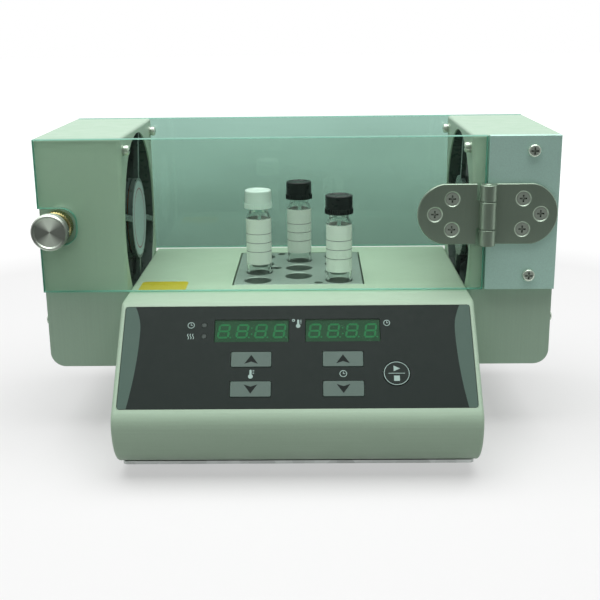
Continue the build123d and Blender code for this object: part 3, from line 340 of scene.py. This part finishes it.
def moulded(name, colour, rough=0.42, gloss=0.5):
    """Moulded plastic with a fine spark-eroded texture."""
    material, shader = new_finish(name)
    shader.inputs["Specular IOR Level"].default_value = gloss
    flow = blend_colours(shader, grain(shader, 0.02, 3), darker(colour, 0.8), colour)
    join(flow, shader.inputs["Base Color"])
    join(between(shader, grain(shader, 0.003), rough - 0.06, rough + 0.08), shader.inputs["Roughness"])
    emboss(shader, grain(shader, 0.0007), 0.00003)
    return material


window_green = tinted_window("window_green", (0.018, 0.060, 0.028), 0.22)
module_face = moulded("module_face", (0.024, 0.150, 0.058), gloss=0.2)
segment_green = moulded("segment_green", (0.03, 0.46, 0.14), gloss=0.2)
lamp_lens = film("lamp_lens", (0.066, 0.088, 0.078), 0.34, 0.15)
dress(window_green, "display_windows")
dress(module_face, "display_modules")
dress(lamp_lens, "indicator_leds")

LAMP_X = -55.6
LAMP_TIME_V = 20.8
LAMP_HEATING_V = 13.3
LAMP_RADIUS = 1.45
LAMP_THICKNESS = 0.06 * MM
for i, v in enumerate((LAMP_TIME_V, LAMP_HEATING_V)):
    cut_shape(f"lamp_window_{i}", [arc((0, 0), LAMP_RADIUS, 0, 352.5, 47)], LAMP_THICKNESS,
              on_film(LAMP_X, v, -0.08), "base", lamp_lens)

DISPLAY_X = 27.2
DISPLAY_V = 17.0
DIGIT_PITCH = 11.1
DIGIT_WIDTH = 6.0
DIGIT_HEIGHT = 9.6
DIGIT_SLANT = 0.16
DIGIT_DEPTH = -0.8
BAR = 0.62
BAR_GAP = 0.15


def leaned(points, x, y):
    return [(x + px + DIGIT_SLANT * py, y + py) for px, py in points]


def upright_bar(half_length):
    return [(-BAR, half_length - BAR), (0, half_length), (BAR, half_length - BAR),
            (BAR, BAR - half_length), (0, -half_length), (-BAR, BAR - half_length)]


def digit_outlines(x):
    """Seven pointed bars and a decimal point."""
    half = DIGIT_WIDTH / 2
    level = DIGIT_HEIGHT / 2 - BAR
    flat = [(y, p) for p, y in upright_bar(half - BAR_GAP)]
    upright = upright_bar(level / 2 - BAR_GAP)
    loops = [leaned([(px, py + v) for px, py in flat], x, 0) for v in (-level, 0, level)]
    for side in (-half, half):
        for v in (-level / 2, level / 2):
            loops.append(leaned([(px + side, py + v) for px, py in upright], x, 0))
    return loops + [arc((x + half + 0.9, -level), 0.55, 0, 345, 15)]


def display_digits(name, x):
    loops = []
    for i in range(4):
        loops += digit_outlines((i - 1.5) * DIGIT_PITCH)
    loops += [arc((0, v), 0.5, 0, 345, 15) for v in (-2, 2)]
    return cut_shape(name, loops, INK, on_film(x, DISPLAY_V, DIGIT_DEPTH), "base", segment_green)


display_digits("digits_temperature", -DISPLAY_X)
display_digits("digits_time", DISPLAY_X)


# ---- printed signs ----
# Pale ink on the film: plain signs for time and heat beside the lamps, the displays and the keys,
# and a ring with a start and a stop sign on the round key. Dark arrows lie on the grey keys.

pale_ink = film("pale_ink", (0.40, 0.55, 0.50), 0.5, 0.2)
dark_ink = film("dark_ink", (0.014, 0.020, 0.018), 0.4, 0.08)


def ring(x, y, outer, inner):
    return [arc((x, y), outer, 0, 352.5, 47), arc((x, y), inner, 0, 352.5, 47)]


def bar(x, y, width, height):
    return [(x - width / 2, y - height / 2), (x + width / 2, y - height / 2),
            (x + width / 2, y + height / 2), (x - width / 2, y + height / 2)]


def clock_sign(x, y, radius):
    hands = [(x - 0.18, y - 0.18), (x + radius * 0.52, y - 0.18), (x + radius * 0.52, y + 0.18),
             (x + 0.18, y + 0.18), (x + 0.18, y + radius * 0.62), (x - 0.18, y + radius * 0.62)]
    return ring(x, y, radius, radius - 0.42) + [hands]


def thermometer_sign(x, y, height):
    """Bulb and stem lying in one outline, with three short marks beside the stem."""
    bulb = height * 0.24
    stem = bulb * 0.45
    foot = y - height / 2 + bulb
    outline = arc((x, foot), bulb, 117, 423, 24)
    outline += arc((x, y + height / 2 - stem), stem, 0, 180, 12)
    marks = [bar(x + stem + 1.0, foot + bulb + 0.6 + i * 0.95, 1.0, 0.35) for i in range(3)]
    return [outline] + marks


def heat_sign(x, y, height):
    """Three rising wavy lines."""
    loops = []
    for i in range(3):
        left = []
        right = []
        for k in range(13):
            v = y + (k / 12 - 0.5) * height
            sway = x + (i - 1) * 1.5 + 0.35 * sin(k / 12 * 2 * pi)
            left.append((sway - 0.22, v))
            right.append((sway + 0.22, v))
        loops.append(left + right[::-1])
    return loops


def arrow(point_up):
    """Arrow head with a hollow base."""
    flip = 1 if point_up else -1
    return [(0, 2.9 * flip), (-4.0, -2.9 * flip), (0, -1.5 * flip), (4.0, -2.9 * flip)]


KEY_X = 27.0
KEY_UP_V = -2.2
KEY_DOWN_V = -21.3
KEY_PROUD = 0.3
START_X = 58.1
START_V = -11.8
CAPTION_V = -11.7
LAMP_SIGN_X = -63.6
SIGNS = {
    "sign_lamp_time": clock_sign(LAMP_SIGN_X, LAMP_TIME_V, 2.1),
    "sign_lamp_heating": heat_sign(LAMP_SIGN_X, LAMP_HEATING_V, 3.6),
    "sign_degrees": ring(-2.2, 23.7, 0.9, 0.45) + thermometer_sign(0.6, 21.4, 5.6),
    "sign_hours": clock_sign(53.6, 21.6, 2.0),
    "sign_key_temperature": thermometer_sign(-27.2, CAPTION_V, 5.8),
    "sign_key_time": clock_sign(KEY_X, CAPTION_V, 2.2),
}
for sign_name, loops in SIGNS.items():
    cut_shape(sign_name, loops, INK, on_film(0, 0), "base", pale_ink)

for key_name, x in (("temp", -KEY_X), ("time", KEY_X)):
    for way, v in (("up", KEY_UP_V), ("down", KEY_DOWN_V)):
        cut_shape(f"arrow_{key_name}_{way}", [arrow(way == "up")], INK, on_film(x, v, KEY_PROUD),
                  f"{key_name}_{way}", dark_ink)

start_signs = ring(0, 0, 7.5, 7.1) + [bar(0, 0, 9.6, 0.35)]
start_signs += [[(-1.7, 1.3), (2.1, 3.1), (-1.7, 4.9)], bar(0, -3.2, 3.4, 3.4)]
cut_shape("sign_start_stop", start_signs, INK, on_film(START_X, START_V, KEY_PROUD), "start_stop",
          pale_ink)


# ---- boards behind the panel and on the base ----
# Green circuit boards with tinned tracks, on short posts inside the closed console: one carries
# the key switches and the displays, the other feeds the heaters and the fans.

def circuit_board(name):
    material, shader = new_finish(name)
    tracks = place(shader, "TexBrick", Scale=120, Mortar_Size=0.06)
    join(surface_point(shader), tracks.inputs["Vector"])
    solder = between(shader, tracks.outputs["Fac"], 0, 1, 0.4, 0.6)
    mask_green = blend_colours(shader, solder, (0.02, 0.12, 0.05), (0.05, 0.22, 0.09))
    join(mask_green, shader.inputs["Base Color"])
    shader.inputs["Roughness"].default_value = 0.35
    emboss(shader, solder, 0.00005)
    return material


dress(circuit_board("green_board"), "control_board", "power_board")


# ---- heating block and what heats it ----
# A machined aluminium block, bored for eleven vials, hangs loose in a thin stainless tray; under
# it lie the heater plate, two cartridge heaters and the probe, wrapped in mineral wool.

def machined(name, colour, rough, across, size=0.0004, metallic=1.0):
    """Metal with fine tool marks that run along one axis."""
    material, shader = new_finish(name)
    lines = grain(shader, size, 3, across)
    patches = blend_colours(shader, grain(shader, 0.02, 3), darker(colour, 0.86), colour)
    marked = blend_colours(shader, between(shader, lines, 0, 1), patches, darker(colour, 0.8))
    join(marked, shader.inputs["Base Color"])
    join(between(shader, lines, rough - 0.06, rough + 0.08), shader.inputs["Roughness"])
    shader.inputs["Metallic"].default_value = metallic
    emboss(shader, lines, 0.00001)
    return material


def mineral_wool(name):
    material, shader = new_finish(name)
    fibres = grain(shader, 0.0012, 6, (6, 1, 2))
    tufts = blend_colours(shader, fibres, (0.30, 0.27, 0.18), (0.62, 0.58, 0.44))
    join(tufts, shader.inputs["Base Color"])
    shader.inputs["Roughness"].default_value = 0.95
    emboss(shader, fibres, 0.0008)
    return material


block_metal = machined("block_metal", (0.36, 0.47, 0.41), 0.5, (6, 1, 1), metallic=0.6)
liner_metal = machined("liner_metal", (0.36, 0.44, 0.39), 0.3, (30, 1, 1))
dress(block_metal, "heating_block", "heater_plate")
dress(liner_metal, "well_liner", "cartridge_heaters", "temperature_probe")
dress(mineral_wool("mineral_wool"), "insulation_jacket")


# ---- vials ----
# Round glass test vials with screw caps, one white and two black. Each carries a wrapped label of
# pale film with plain ruled lines.

def lit_through(shader, held_back=0.08):
    """Lets lamp light fall through a piece, all but a share, so that it doesn't shade what it covers."""
    shadow = place(shader, "LightPath").outputs["Is Shadow Ray"]
    join(between(shader, shadow, 1, held_back, 0, 1), shader.inputs["Alpha"])


def clear_glass(name, colour):
    material, shader = new_finish(name)
    shader.inputs["Base Color"].default_value = (*colour, 1)
    shader.inputs["Transmission Weight"].default_value = 1.0
    shader.inputs["IOR"].default_value = 1.48
    join(between(shader, grain(shader, 0.02), 0.0, 0.02), shader.inputs["Roughness"])
    lit_through(shader)
    return material


vial_glass = clear_glass("vial_glass", (0.95, 0.985, 0.96))
cap_white = moulded("cap_white", (0.79, 1.0, 0.90), 0.35)
cap_black = moulded("cap_black", (0.016, 0.025, 0.023), 0.30, gloss=0.3)
label_film = film("label_film", (0.84, 0.97, 0.87), 0.4, 0.3)
lit_through(label_film.node_tree.nodes["Principled BSDF"], 0.4)
label_ink = film("label_ink", (0.16, 0.21, 0.19), 0.5, 0.2)
dress(vial_glass, "vial_left", "vial_middle", "vial_right")
dress(cap_white, "vial_left_cap")
dress(cap_black, "vial_middle_cap", "vial_right_cap")

VIAL_RADIUS = 8.3 * MM
LABEL_FOOT = 51.5 * MM
LABEL_TOP = 82.2 * MM
LABEL_SIDES = 96
LABEL_START = radians(8)
LABEL_SWEEP = 2 * pi * 0.95
RULED_LINES = (60.0 * MM, 66.0 * MM, 72.0 * MM)
LINE_WIDTH = 0.35 * MM
LINE_START = radians(20)
LINE_SWEEP = 2 * pi * 0.88
PAPER = 0.05 * MM


def wrapped_band(name, centre, foot, top, radius, start, sweep, body, material):
    """Thin film wrapped round a vial: a tube's wall, cut to a sector and given a thickness."""
    bpy.ops.mesh.primitive_cylinder_add(vertices=LABEL_SIDES, radius=radius, depth=top - foot,
                                        end_fill_type="NOTHING",
                                        location=(centre.x, centre.y, (foot + top) / 2))
    piece = bpy.context.object
    bpy.ops.object.mode_set(mode="EDIT")
    bpy.ops.mesh.select_mode(type="FACE")
    bpy.ops.mesh.select_all(action="DESELECT")
    bpy.ops.object.mode_set(mode="OBJECT")
    for face in piece.data.polygons:
        angle = Vector((face.center.x, face.center.y)).angle_signed(Vector((0, 1)))
        face.select = not 0 <= (angle - start) % (2 * pi) <= sweep
    bpy.ops.object.mode_set(mode="EDIT")
    bpy.ops.mesh.delete(type="FACE")
    bpy.ops.object.mode_set(mode="OBJECT")
    bpy.ops.object.modifier_add(type="SOLIDIFY")
    piece.modifiers[0].thickness = PAPER
    piece.modifiers[0].offset = 1
    bpy.ops.object.modifier_apply(modifier=piece.modifiers[0].name)
    bpy.ops.object.shade_smooth_by_angle(angle=radians(30))
    bpy.ops.object.transform_apply(location=True, rotation=True, scale=True)
    return keep(piece, name, body, material)


for vial_name in ("left", "middle", "right"):
    body = f"{vial_name}_vial"
    low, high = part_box(f"vial_{vial_name}")
    axis_point = (low + high) / 2
    wrapped_band(f"label_{vial_name}", axis_point, low.z + LABEL_FOOT, low.z + LABEL_TOP,
                 VIAL_RADIUS + 0.02 * MM, LABEL_START, LABEL_SWEEP, body, label_film)
    for i, height in enumerate(RULED_LINES):
        foot = low.z + height
        wrapped_band(f"label_{vial_name}_line_{i}", axis_point, foot, foot + LINE_WIDTH,
                     VIAL_RADIUS + 0.08 * MM, LINE_START, LINE_SWEEP, body, label_ink)


# ---- fan housings ----
# Folded sheet boxes, bolted to the console's sides, in the same enamel. Each has a wrapped side
# cover with intake slots.

sheet_enamel = enamel("sheet_enamel", (0.42, 0.59, 0.45), SPRAYED_UPWARDS)
dress(sheet_enamel, "left_housing", "right_housing", "left_side_cover", "right_side_cover")


# ---- fans ----
# Square black moulded fans behind the round openings. The left hub carries a pale round label
# with a plain ring; the coils sit inside the rotor's cup.

fan_black = moulded("fan_black", (0.068, 0.104, 0.090), 0.30)
copper_wire = machined("copper_wire", (0.62, 0.27, 0.13), 0.4, (1, 1, 20))
dress(fan_black, "left_fan_frame", "right_fan_frame", "left_fan_rotor", "right_fan_rotor")
dress(copper_wire, "fan_stators")

hub_paper = film("hub_paper", (0.42, 0.57, 0.55), 0.5, 0.25)
hub_ink = film("hub_ink", (0.33, 0.19, 0.20), 0.5, 0.25)
HUB_PAPER = 0.1 * MM
HUB_LABEL_RADIUS = 25
HUB_RING_OUTER = 20.5
HUB_RING_INNER = 19.4
frame_low, frame_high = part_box("left_fan_frame")
frame_middle = (frame_low + frame_high) / 2
HUB_SEAT = Matrix.Translation((frame_high.x, frame_middle.y, frame_middle.z))
HUB_SEAT = HUB_SEAT @ Matrix.Rotation(radians(90), 4, "Z") @ Matrix.Rotation(radians(90), 4, "X")
cut_shape("hub_label", [arc((0, 0), HUB_LABEL_RADIUS, 0, 354, 59)], HUB_PAPER, HUB_SEAT, "base",
          hub_paper)
cut_shape("hub_label_ring", ring(0, 0, HUB_RING_OUTER, HUB_RING_INNER), INK,
          HUB_SEAT @ Matrix.Translation((0, 0, HUB_PAPER)), "base", hub_ink)


# ---- glass door and rear glass ----
# Five-millimetre float glass with ground edges. Light caught in the sheets leaves by the edges,
# which show a clear green. The rear pane stands a hair off the housings that it is screwed to.

def axis_value(shader, vector, axis):
    parts = place(shader, "SeparateXYZ")
    join(vector, parts.inputs[0])
    return parts.outputs[axis]


GLASS_DARK_BELOW = 135 * MM
GLASS_PALE_ABOVE = 188 * MM
EDGE_GREEN = (0.11, 0.45, 0.31)


def float_glass(name, colour, painted_shade_colour):
    """Clear between its faces and green at its edges, with faint clouds from wiping; its tint darkens
    with painted shade towards its foot, from GLASS_PALE_ABOVE down to GLASS_DARK_BELOW.
    """
    material, shader = new_finish(name)
    shader.inputs["Transmission Weight"].default_value = 1.0
    shader.inputs["IOR"].default_value = 1.5
    facing = axis_value(shader, place(shader, "TexCoord").outputs["Normal"], "Y")
    edge = between(shader, worked_out(shader, "ABSOLUTE", facing), 1, 0, 0.75, 0.95)
    # Painted shade: below GLASS_PALE_ABOVE the tint fades to a darker colour towards the pane's foot.
    height = axis_value(shader, place(shader, "TexCoord").outputs["Object"], "Z")
    rise = between(shader, height, 0, 1, GLASS_DARK_BELOW, GLASS_PALE_ABOVE)
    depth = blend_colours(shader, rise, painted_shade_colour, colour)
    wiped = blend_colours(shader, grain(shader, 0.03, 3, (3, 1, 1)), darker(painted_shade_colour, 0.86), colour)
    clouded = blend_colours(shader, 0.3, depth, wiped)
    join(blend_colours(shader, edge, clouded, EDGE_GREEN), shader.inputs["Base Color"])
    join(between(shader, edge, 0.0, 0.35, 0, 1), shader.inputs["Roughness"])
    join(between(shader, edge, 1.0, 0.25, 0, 1), shader.inputs["Transmission Weight"])
    lit_through(shader)
    return material


door_glass = float_glass("door_glass", (0.87, 0.925, 0.875), (0.87, 0.925, 0.875))
# The rear pane's darker second colour is painted shade that darkens it towards its foot.
rear_glass = float_glass("rear_glass", (0.335, 0.54, 0.455), (0.150, 0.255, 0.207))
dress(door_glass, "door_glass")

HAIR = 0.05 * MM
housing_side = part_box("rear_glass")[0].y
rear_pane = bpy.data.objects.new("rear_pane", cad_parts["rear_glass"].data.copy())
bpy.context.collection.objects.link(rear_pane)
for vertex in rear_pane.data.vertices:
    vertex.co.y = max(vertex.co.y, housing_side + HAIR)
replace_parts(keep(rear_pane, "rear_pane", "base", rear_glass), "rear_glass")


# ---- hinge plate and hinge ----
# A satin anodised aluminium plate carries a flap hinge of brushed dark stainless steel. A ring of
# painted highlight lies round each screw seat, and painted shade darkens the screws' cross recesses.

HINGE_SCREWS = [(138.0, 153.3), (148.9, 143.8), (138.0, 134.3),
                (94.9, 153.3), (84.4, 143.8), (94.9, 134.3)]
SEAT_INNER = 3.9 * MM
SEAT_OUTER = 4.9 * MM


def satin(name, colour, rough):
    """Anodised metal with a fine even grain."""
    material, shader = new_finish(name)
    fine = grain(shader, 0.0007, 2)
    clouds = blend_colours(shader, grain(shader, 0.03, 2), darker(colour, 0.93), colour)
    etched = blend_colours(shader, between(shader, fine, 0, 1), clouds, darker(colour, 0.9))
    join(etched, shader.inputs["Base Color"])
    join(between(shader, fine, rough - 0.05, rough + 0.07), shader.inputs["Roughness"])
    shader.inputs["Metallic"].default_value = 0.3
    emboss(shader, fine, 0.00001)
    return material


def round_spots(shader, centres, inner, outer):
    """1 in a ring round each centre of the XZ plane, 0 elsewhere."""
    flat = place(shader, "VectorMath")
    flat.operation = "MULTIPLY"
    join(place(shader, "TexCoord").outputs["Object"], flat.inputs[0])
    flat.inputs[1].default_value = (1, 0, 1)
    nearest = None
    for x, z in centres:
        reach = place(shader, "VectorMath")
        reach.operation = "DISTANCE"
        join(flat.outputs[0], reach.inputs[0])
        reach.inputs[1].default_value = (x * MM, 0, z * MM)
        distance = reach.outputs["Value"]
        nearest = distance if nearest is None else worked_out(shader, "MINIMUM", nearest, distance)
    inside = between(shader, nearest, 1, 0, outer - 0.1 * MM, outer)
    outside = between(shader, nearest, 0, 1, inner - 0.1 * MM, inner)
    return worked_out(shader, "MULTIPLY", inside, outside)


def brushed_hinge(name, colour, painted_highlight_colour):
    """Dark brushed sheet, with a ring of painted highlight round each screw seat."""
    material, shader = new_finish(name)
    lines = grain(shader, 0.0004, 3, (1, 1, 18))
    sheen = blend_colours(shader, grain(shader, 0.03, 2), darker(colour, 0.72), colour)
    brushed = blend_colours(shader, between(shader, lines, 0, 1), sheen, darker(colour, 0.82))
    # Painted highlight: a bright ring round each screw seat, where the countersink's cone catches the
    # lamp.
    painted_highlight_rings = round_spots(shader, HINGE_SCREWS, SEAT_INNER, SEAT_OUTER)
    join(blend_colours(shader, painted_highlight_rings, brushed, painted_highlight_colour), shader.inputs["Base Color"])
    join(between(shader, lines, 0.32, 0.44), shader.inputs["Roughness"])
    shader.inputs["Metallic"].default_value = 0.65
    emboss(shader, lines, 0.000006)
    return material


def screw_metal(name, colour):
    """Bright plated steel, with painted shade: nearly black where ambient occlusion finds a recess."""
    material, shader = new_finish(name)
    # Painted shade: ambient occlusion turns the colour nearly black in recesses such as the cross slots.
    painted_recess_shade = place(shader, "AmbientOcclusion", Distance=0.9 * MM)
    painted_recess_shade.only_local = True
    painted_recess_shade.samples = 6
    tone = blend_colours(shader, grain(shader, 0.001, 3), darker(colour, 0.85), colour)
    open_part = between(shader, painted_recess_shade.outputs["AO"], 0, 1, 0.5, 0.9)
    join(blend_colours(shader, open_part, darker(colour, 0.08), tone), shader.inputs["Base Color"])
    join(between(shader, grain(shader, 0.0006), 0.16, 0.26), shader.inputs["Roughness"])
    shader.inputs["Metallic"].default_value = 0.6
    return material


plate_satin = satin("plate_satin", (0.52, 0.80, 0.69), 0.5)
hinge_steel = brushed_hinge("hinge_steel", (0.35, 0.46, 0.355), (0.62, 0.76, 0.62))
bright_steel = screw_metal("bright_steel", (0.72, 0.84, 0.71))
dress(plate_satin, "hinge_plate")
dress(hinge_steel, "hinge_fixed_leaf", "hinge_door_leaf", "hinge_pin")
dress(bright_steel, "hinge_fixed_screws", "hinge_door_screws", "plate_screws", "fan_screws",
      "rear_glass_screws", "case_screws", "board_screws", "housing_screws", "knob_stud")


# ---- knob ----
# A turned stainless head on a knurled brass collar. Its dished face carries painted reflection:
# bright and dark sectors by the angle round its axis, where lathe marks would fan the light out.

def turned_steel_with_painted_sectors(name, colour, rough, centre):
    """Steel turned round an axis along Y, with painted reflection: bright and dark sectors by the angle
    round the axis, on anisotropic shading.
    """
    material, shader = new_finish(name)
    # Painted reflection: the colour runs through bright and dark sectors by the angle round the knob's
    # axis.
    sweep = place(shader, "TexGradient")
    sweep.gradient_type = "RADIAL"
    join(surface_point(shader, centre=centre, turn=(radians(90), 0, 0)), sweep.inputs["Vector"])
    twice_round = worked_out(shader, "MULTIPLY", sweep.outputs["Fac"], 4 * pi)
    painted_reflection_lobes = between(shader, worked_out(shader, "COSINE", twice_round), 1, 0, -0.8, 0.6)
    painted_reflection_colour = blend_colours(shader, painted_reflection_lobes, darker(colour, 0.16), colour)
    worn = blend_colours(shader, grain(shader, 0.002, 3), darker(colour, 0.85), colour)
    join(blend_colours(shader, 0.15, painted_reflection_colour, worn), shader.inputs["Base Color"])
    join(between(shader, grain(shader, 0.004), rough - 0.04, rough + 0.04), shader.inputs["Roughness"])
    shader.inputs["Metallic"].default_value = 0.5
    shader.inputs["Anisotropic"].default_value = 0.6
    around = place(shader, "Tangent")
    around.direction_type = "RADIAL"
    around.axis = "Y"
    join(around.outputs[0], shader.inputs["Tangent"])
    return material


knob_low, knob_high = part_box("knob")
knob_middle = tuple((knob_low + knob_high) / 2)
knob_steel = turned_steel_with_painted_sectors("knob_steel", (0.82, 0.93, 0.80), 0.36, knob_middle)
collar_brass = machined("collar_brass", (0.50, 0.45, 0.20), 0.28, (1, 8, 1), 0.0005)
dress(knob_steel, "knob")
dress(collar_brass, "knob_collar", "knob_insert")


# ---- rear fittings ----
# Black moulded appliance inlet with three plated blades and a fuse drawer, and a rocker switch
# with plain printed on and off marks. Both sit in openings of the console's rear wall.

fitting_black = moulded("fitting_black", (0.014, 0.015, 0.015), 0.38)
dress(fitting_black, "power_inlet", "fuse_drawer", "switch_frame", "power_rocker")

INLET_X = 78.0
SWITCH_X = 44.0
FITTINGS_Z = 50.0
ROCKER_TILT = 24
OFF_MARK_OUT = 1.667
OFF_MARK_UP = -4.9
ON_MARK_OUT = 3.538
ON_MARK_UP = 3.89
back_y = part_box("console_shell")[1].y
blade_nickel = machined("blade_nickel", (0.62, 0.60, 0.54), 0.22, (1, 8, 1), 0.0005)
mark_white = film("mark_white", (0.75, 0.78, 0.76), 0.4)


def on_back(x, z, out):
    """Seat on the rear wall, facing out of it, with its own Y pointing up."""
    return Matrix(((-1, 0, 0, x * MM), (0, 0, 1, back_y + out * MM), (0, 1, 0, z * MM), (0, 0, 0, 1)))


def rounded_bar(width, height, corner):
    """Bar with round corners about the origin."""
    loop = []
    for turn_by, (sx, sy) in enumerate(((1, 1), (-1, 1), (-1, -1), (1, -1))):
        centre = (sx * (width / 2 - corner), sy * (height / 2 - corner))
        loop += arc(centre, corner, 90 * turn_by, 90 * turn_by + 90, 4)
    return loop


BLADES = ((-7.0, -8.5), (7.0, -8.5), (0.0, -4.5))
BLADE_ROOT = -16.0
BLADE_LENGTH = 14.05 * MM
for i, (x, y) in enumerate(BLADES):
    blade_seat = on_back(INLET_X, FITTINGS_Z, BLADE_ROOT) @ Matrix.Translation((x * MM, y * MM, 0))
    cut_shape(f"inlet_blade_{i}", [rounded_bar(2.3, 4.5, 0.45)], BLADE_LENGTH, blade_seat, "base",
              blade_nickel)

off_seat = on_back(SWITCH_X, FITTINGS_Z, OFF_MARK_OUT) @ Matrix.Translation((0, OFF_MARK_UP * MM, 0))
on_seat = on_back(SWITCH_X, FITTINGS_Z, ON_MARK_OUT) @ Matrix.Translation((0, ON_MARK_UP * MM, 0))
on_seat = on_seat @ Matrix.Rotation(radians(ROCKER_TILT), 4, "X")
cut_shape("rocker_mark_off", ring(0, 0, 1.7, 1.2), INK, off_seat, "rocker", mark_white)
cut_shape("rocker_mark_on", [bar(0, 0, 0.55, 3.4)], INK, on_seat, "rocker", mark_white)


# ---- sticker on the deck ----
# A plain yellow label of printed polyester film with rounded corners, glued flat to the deck at
# its left front.

sticker_yellow = film("sticker_yellow", (0.52, 0.46, 0.012), 0.4, 0.2)
deck_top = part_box("console_shell")[1].z
STICKER_X = -86.5 * MM
STICKER_Y = -15.3 * MM
STICKER_THICKNESS = 0.08 * MM
sticker_outline = rounded_bar(30.0, 26.0, 3.0)
sticker_seat = Matrix.Translation((STICKER_X, STICKER_Y, deck_top))
cut_shape("deck_label", [sticker_outline], STICKER_THICKNESS, sticker_seat, "base", sticker_yellow)


# ---- studio ----
# A white floor that runs out of sight under a white sky, one broad soft lamp straight above the
# object, and a camera that looks slightly down on it.

def both(shader, first, second):
    return worked_out(shader, "MULTIPLY", first, second)


def either(shader, first, second):
    return worked_out(shader, "MAXIMUM", first, second)


def inverse(shader, mask):
    return between(shader, mask, 1, 0, 0, 1)


def looked_at(shader):
    """1 for rays that come straight from the eye, also through glass."""
    path = place(shader, "LightPath")
    straight = between(shader, path.outputs["Glossy Depth"], 1, 0, 0.4, 0.6)
    return either(shader, path.outputs["Is Camera Ray"],
                  both(shader, path.outputs["Is Transmission Ray"], straight))


def reflected(shader):
    """1 for rays that the eye sees in metal, or in either face of a glass."""
    path = place(shader, "LightPath")
    mirrored = between(shader, path.outputs["Glossy Depth"], 0, 1, 0.4, 0.6)
    return either(shader, path.outputs["Is Glossy Ray"],
                  both(shader, path.outputs["Is Transmission Ray"], mirrored))


FLOOR_GREY = (0.42, 0.42, 0.42)
ROOM_FLOOR_GREY = (0.03, 0.03, 0.03)
ROOM_FLOOR_FROM = -0.24
ROOM_FLOOR_TO = -0.36
GLOW_FROM = 0.5
GLOW_TO = 0.9
GLOW_NEAR = 0.45
GLOW_FAR = 0.95


def floor_finish():
    """Pale near the object, where it keeps a soft shadow, and plain white further out."""
    material, shader = new_finish("floor_white")
    point = place(shader, "TexCoord").outputs["Object"]
    ahead = between(shader, axis_value(shader, point, "Y"), 1, 0, ROOM_FLOOR_TO, ROOM_FLOOR_FROM)
    dim = both(shader, reflected(shader), ahead)
    join(blend_colours(shader, dim, FLOOR_GREY, ROOM_FLOOR_GREY), shader.inputs["Base Color"])
    shader.inputs["Roughness"].default_value = 0.9
    shader.inputs["Specular IOR Level"].default_value = 0.0
    away = place(shader, "VectorMath")
    away.operation = "LENGTH"
    join(point, away.inputs[0])
    far = between(shader, away.outputs["Value"], GLOW_NEAR, GLOW_FAR, GLOW_FROM, GLOW_TO)
    mirrored = both(shader, reflected(shader), inverse(shader, ahead))
    shader.inputs["Emission Color"].default_value = (1, 1, 1, 1)
    glow = both(shader, either(shader, looked_at(shader), mirrored), far)
    join(glow, shader.inputs["Emission Strength"])
    return material


FLOOR_SIZE = 12
bpy.ops.mesh.primitive_plane_add(size=FLOOR_SIZE, location=(0, 0, 0))
floor = bpy.context.object
floor.name = "studio_floor"
floor.data.materials.append(floor_finish())

world = bpy.data.worlds.new("studio_world")
bpy.context.scene.world = world
world.use_nodes = True
sky = world.node_tree.nodes["Background"]
AMBIENT = 0.28
ROOM_BEHIND_CAMERA = 0.12
towards_back = axis_value(sky, place(sky, "TexCoord").outputs["Generated"], "Y")
room = between(sky, towards_back, ROOM_BEHIND_CAMERA, 1.0, -0.5, 0.1)
mirrored = reflected(sky)
plain = both(sky, between(sky, mirrored, AMBIENT, 0, 0, 1), inverse(sky, looked_at(sky)))
seen_straight = either(sky, plain, looked_at(sky))
join(either(sky, seen_straight, both(sky, mirrored, room)), sky.inputs["Strength"])
sky.inputs["Color"].default_value = (1, 1, 1, 1)

LAMP_HEIGHT = 1.5
LAMP_WIDTH = 1.8
LAMP_DEPTH = 1.5
LAMP_POWER = 29
bpy.ops.object.light_add(type="AREA", location=(0.0, 0.0, LAMP_HEIGHT))
softbox = bpy.context.object
softbox.name = "overhead_softbox"
softbox.data.shape = "RECTANGLE"
softbox.data.size = LAMP_WIDTH
softbox.data.size_y = LAMP_DEPTH
softbox.data.energy = LAMP_POWER

CAMERA_PITCH = radians(15.7347)
CAMERA_YAW = radians(0.9210)
CAMERA_ROLL = radians(-0.6693)
CAMERA_PLACE = (0.01123, -0.646955, 0.26305)
CAMERA_LENS = 61.01
bpy.ops.object.camera_add(location=CAMERA_PLACE)
camera = bpy.context.object
turn = Matrix.Rotation(CAMERA_YAW, 3, "Z") @ Matrix.Rotation(pi / 2 - CAMERA_PITCH, 3, "X")
camera.rotation_euler = (turn @ Matrix.Rotation(CAMERA_ROLL, 3, "Z")).to_euler()
camera.data.lens = CAMERA_LENS
camera.data.sensor_width = 36
bpy.context.scene.camera = camera
bpy.context.scene.view_settings.view_transform = "Standard"
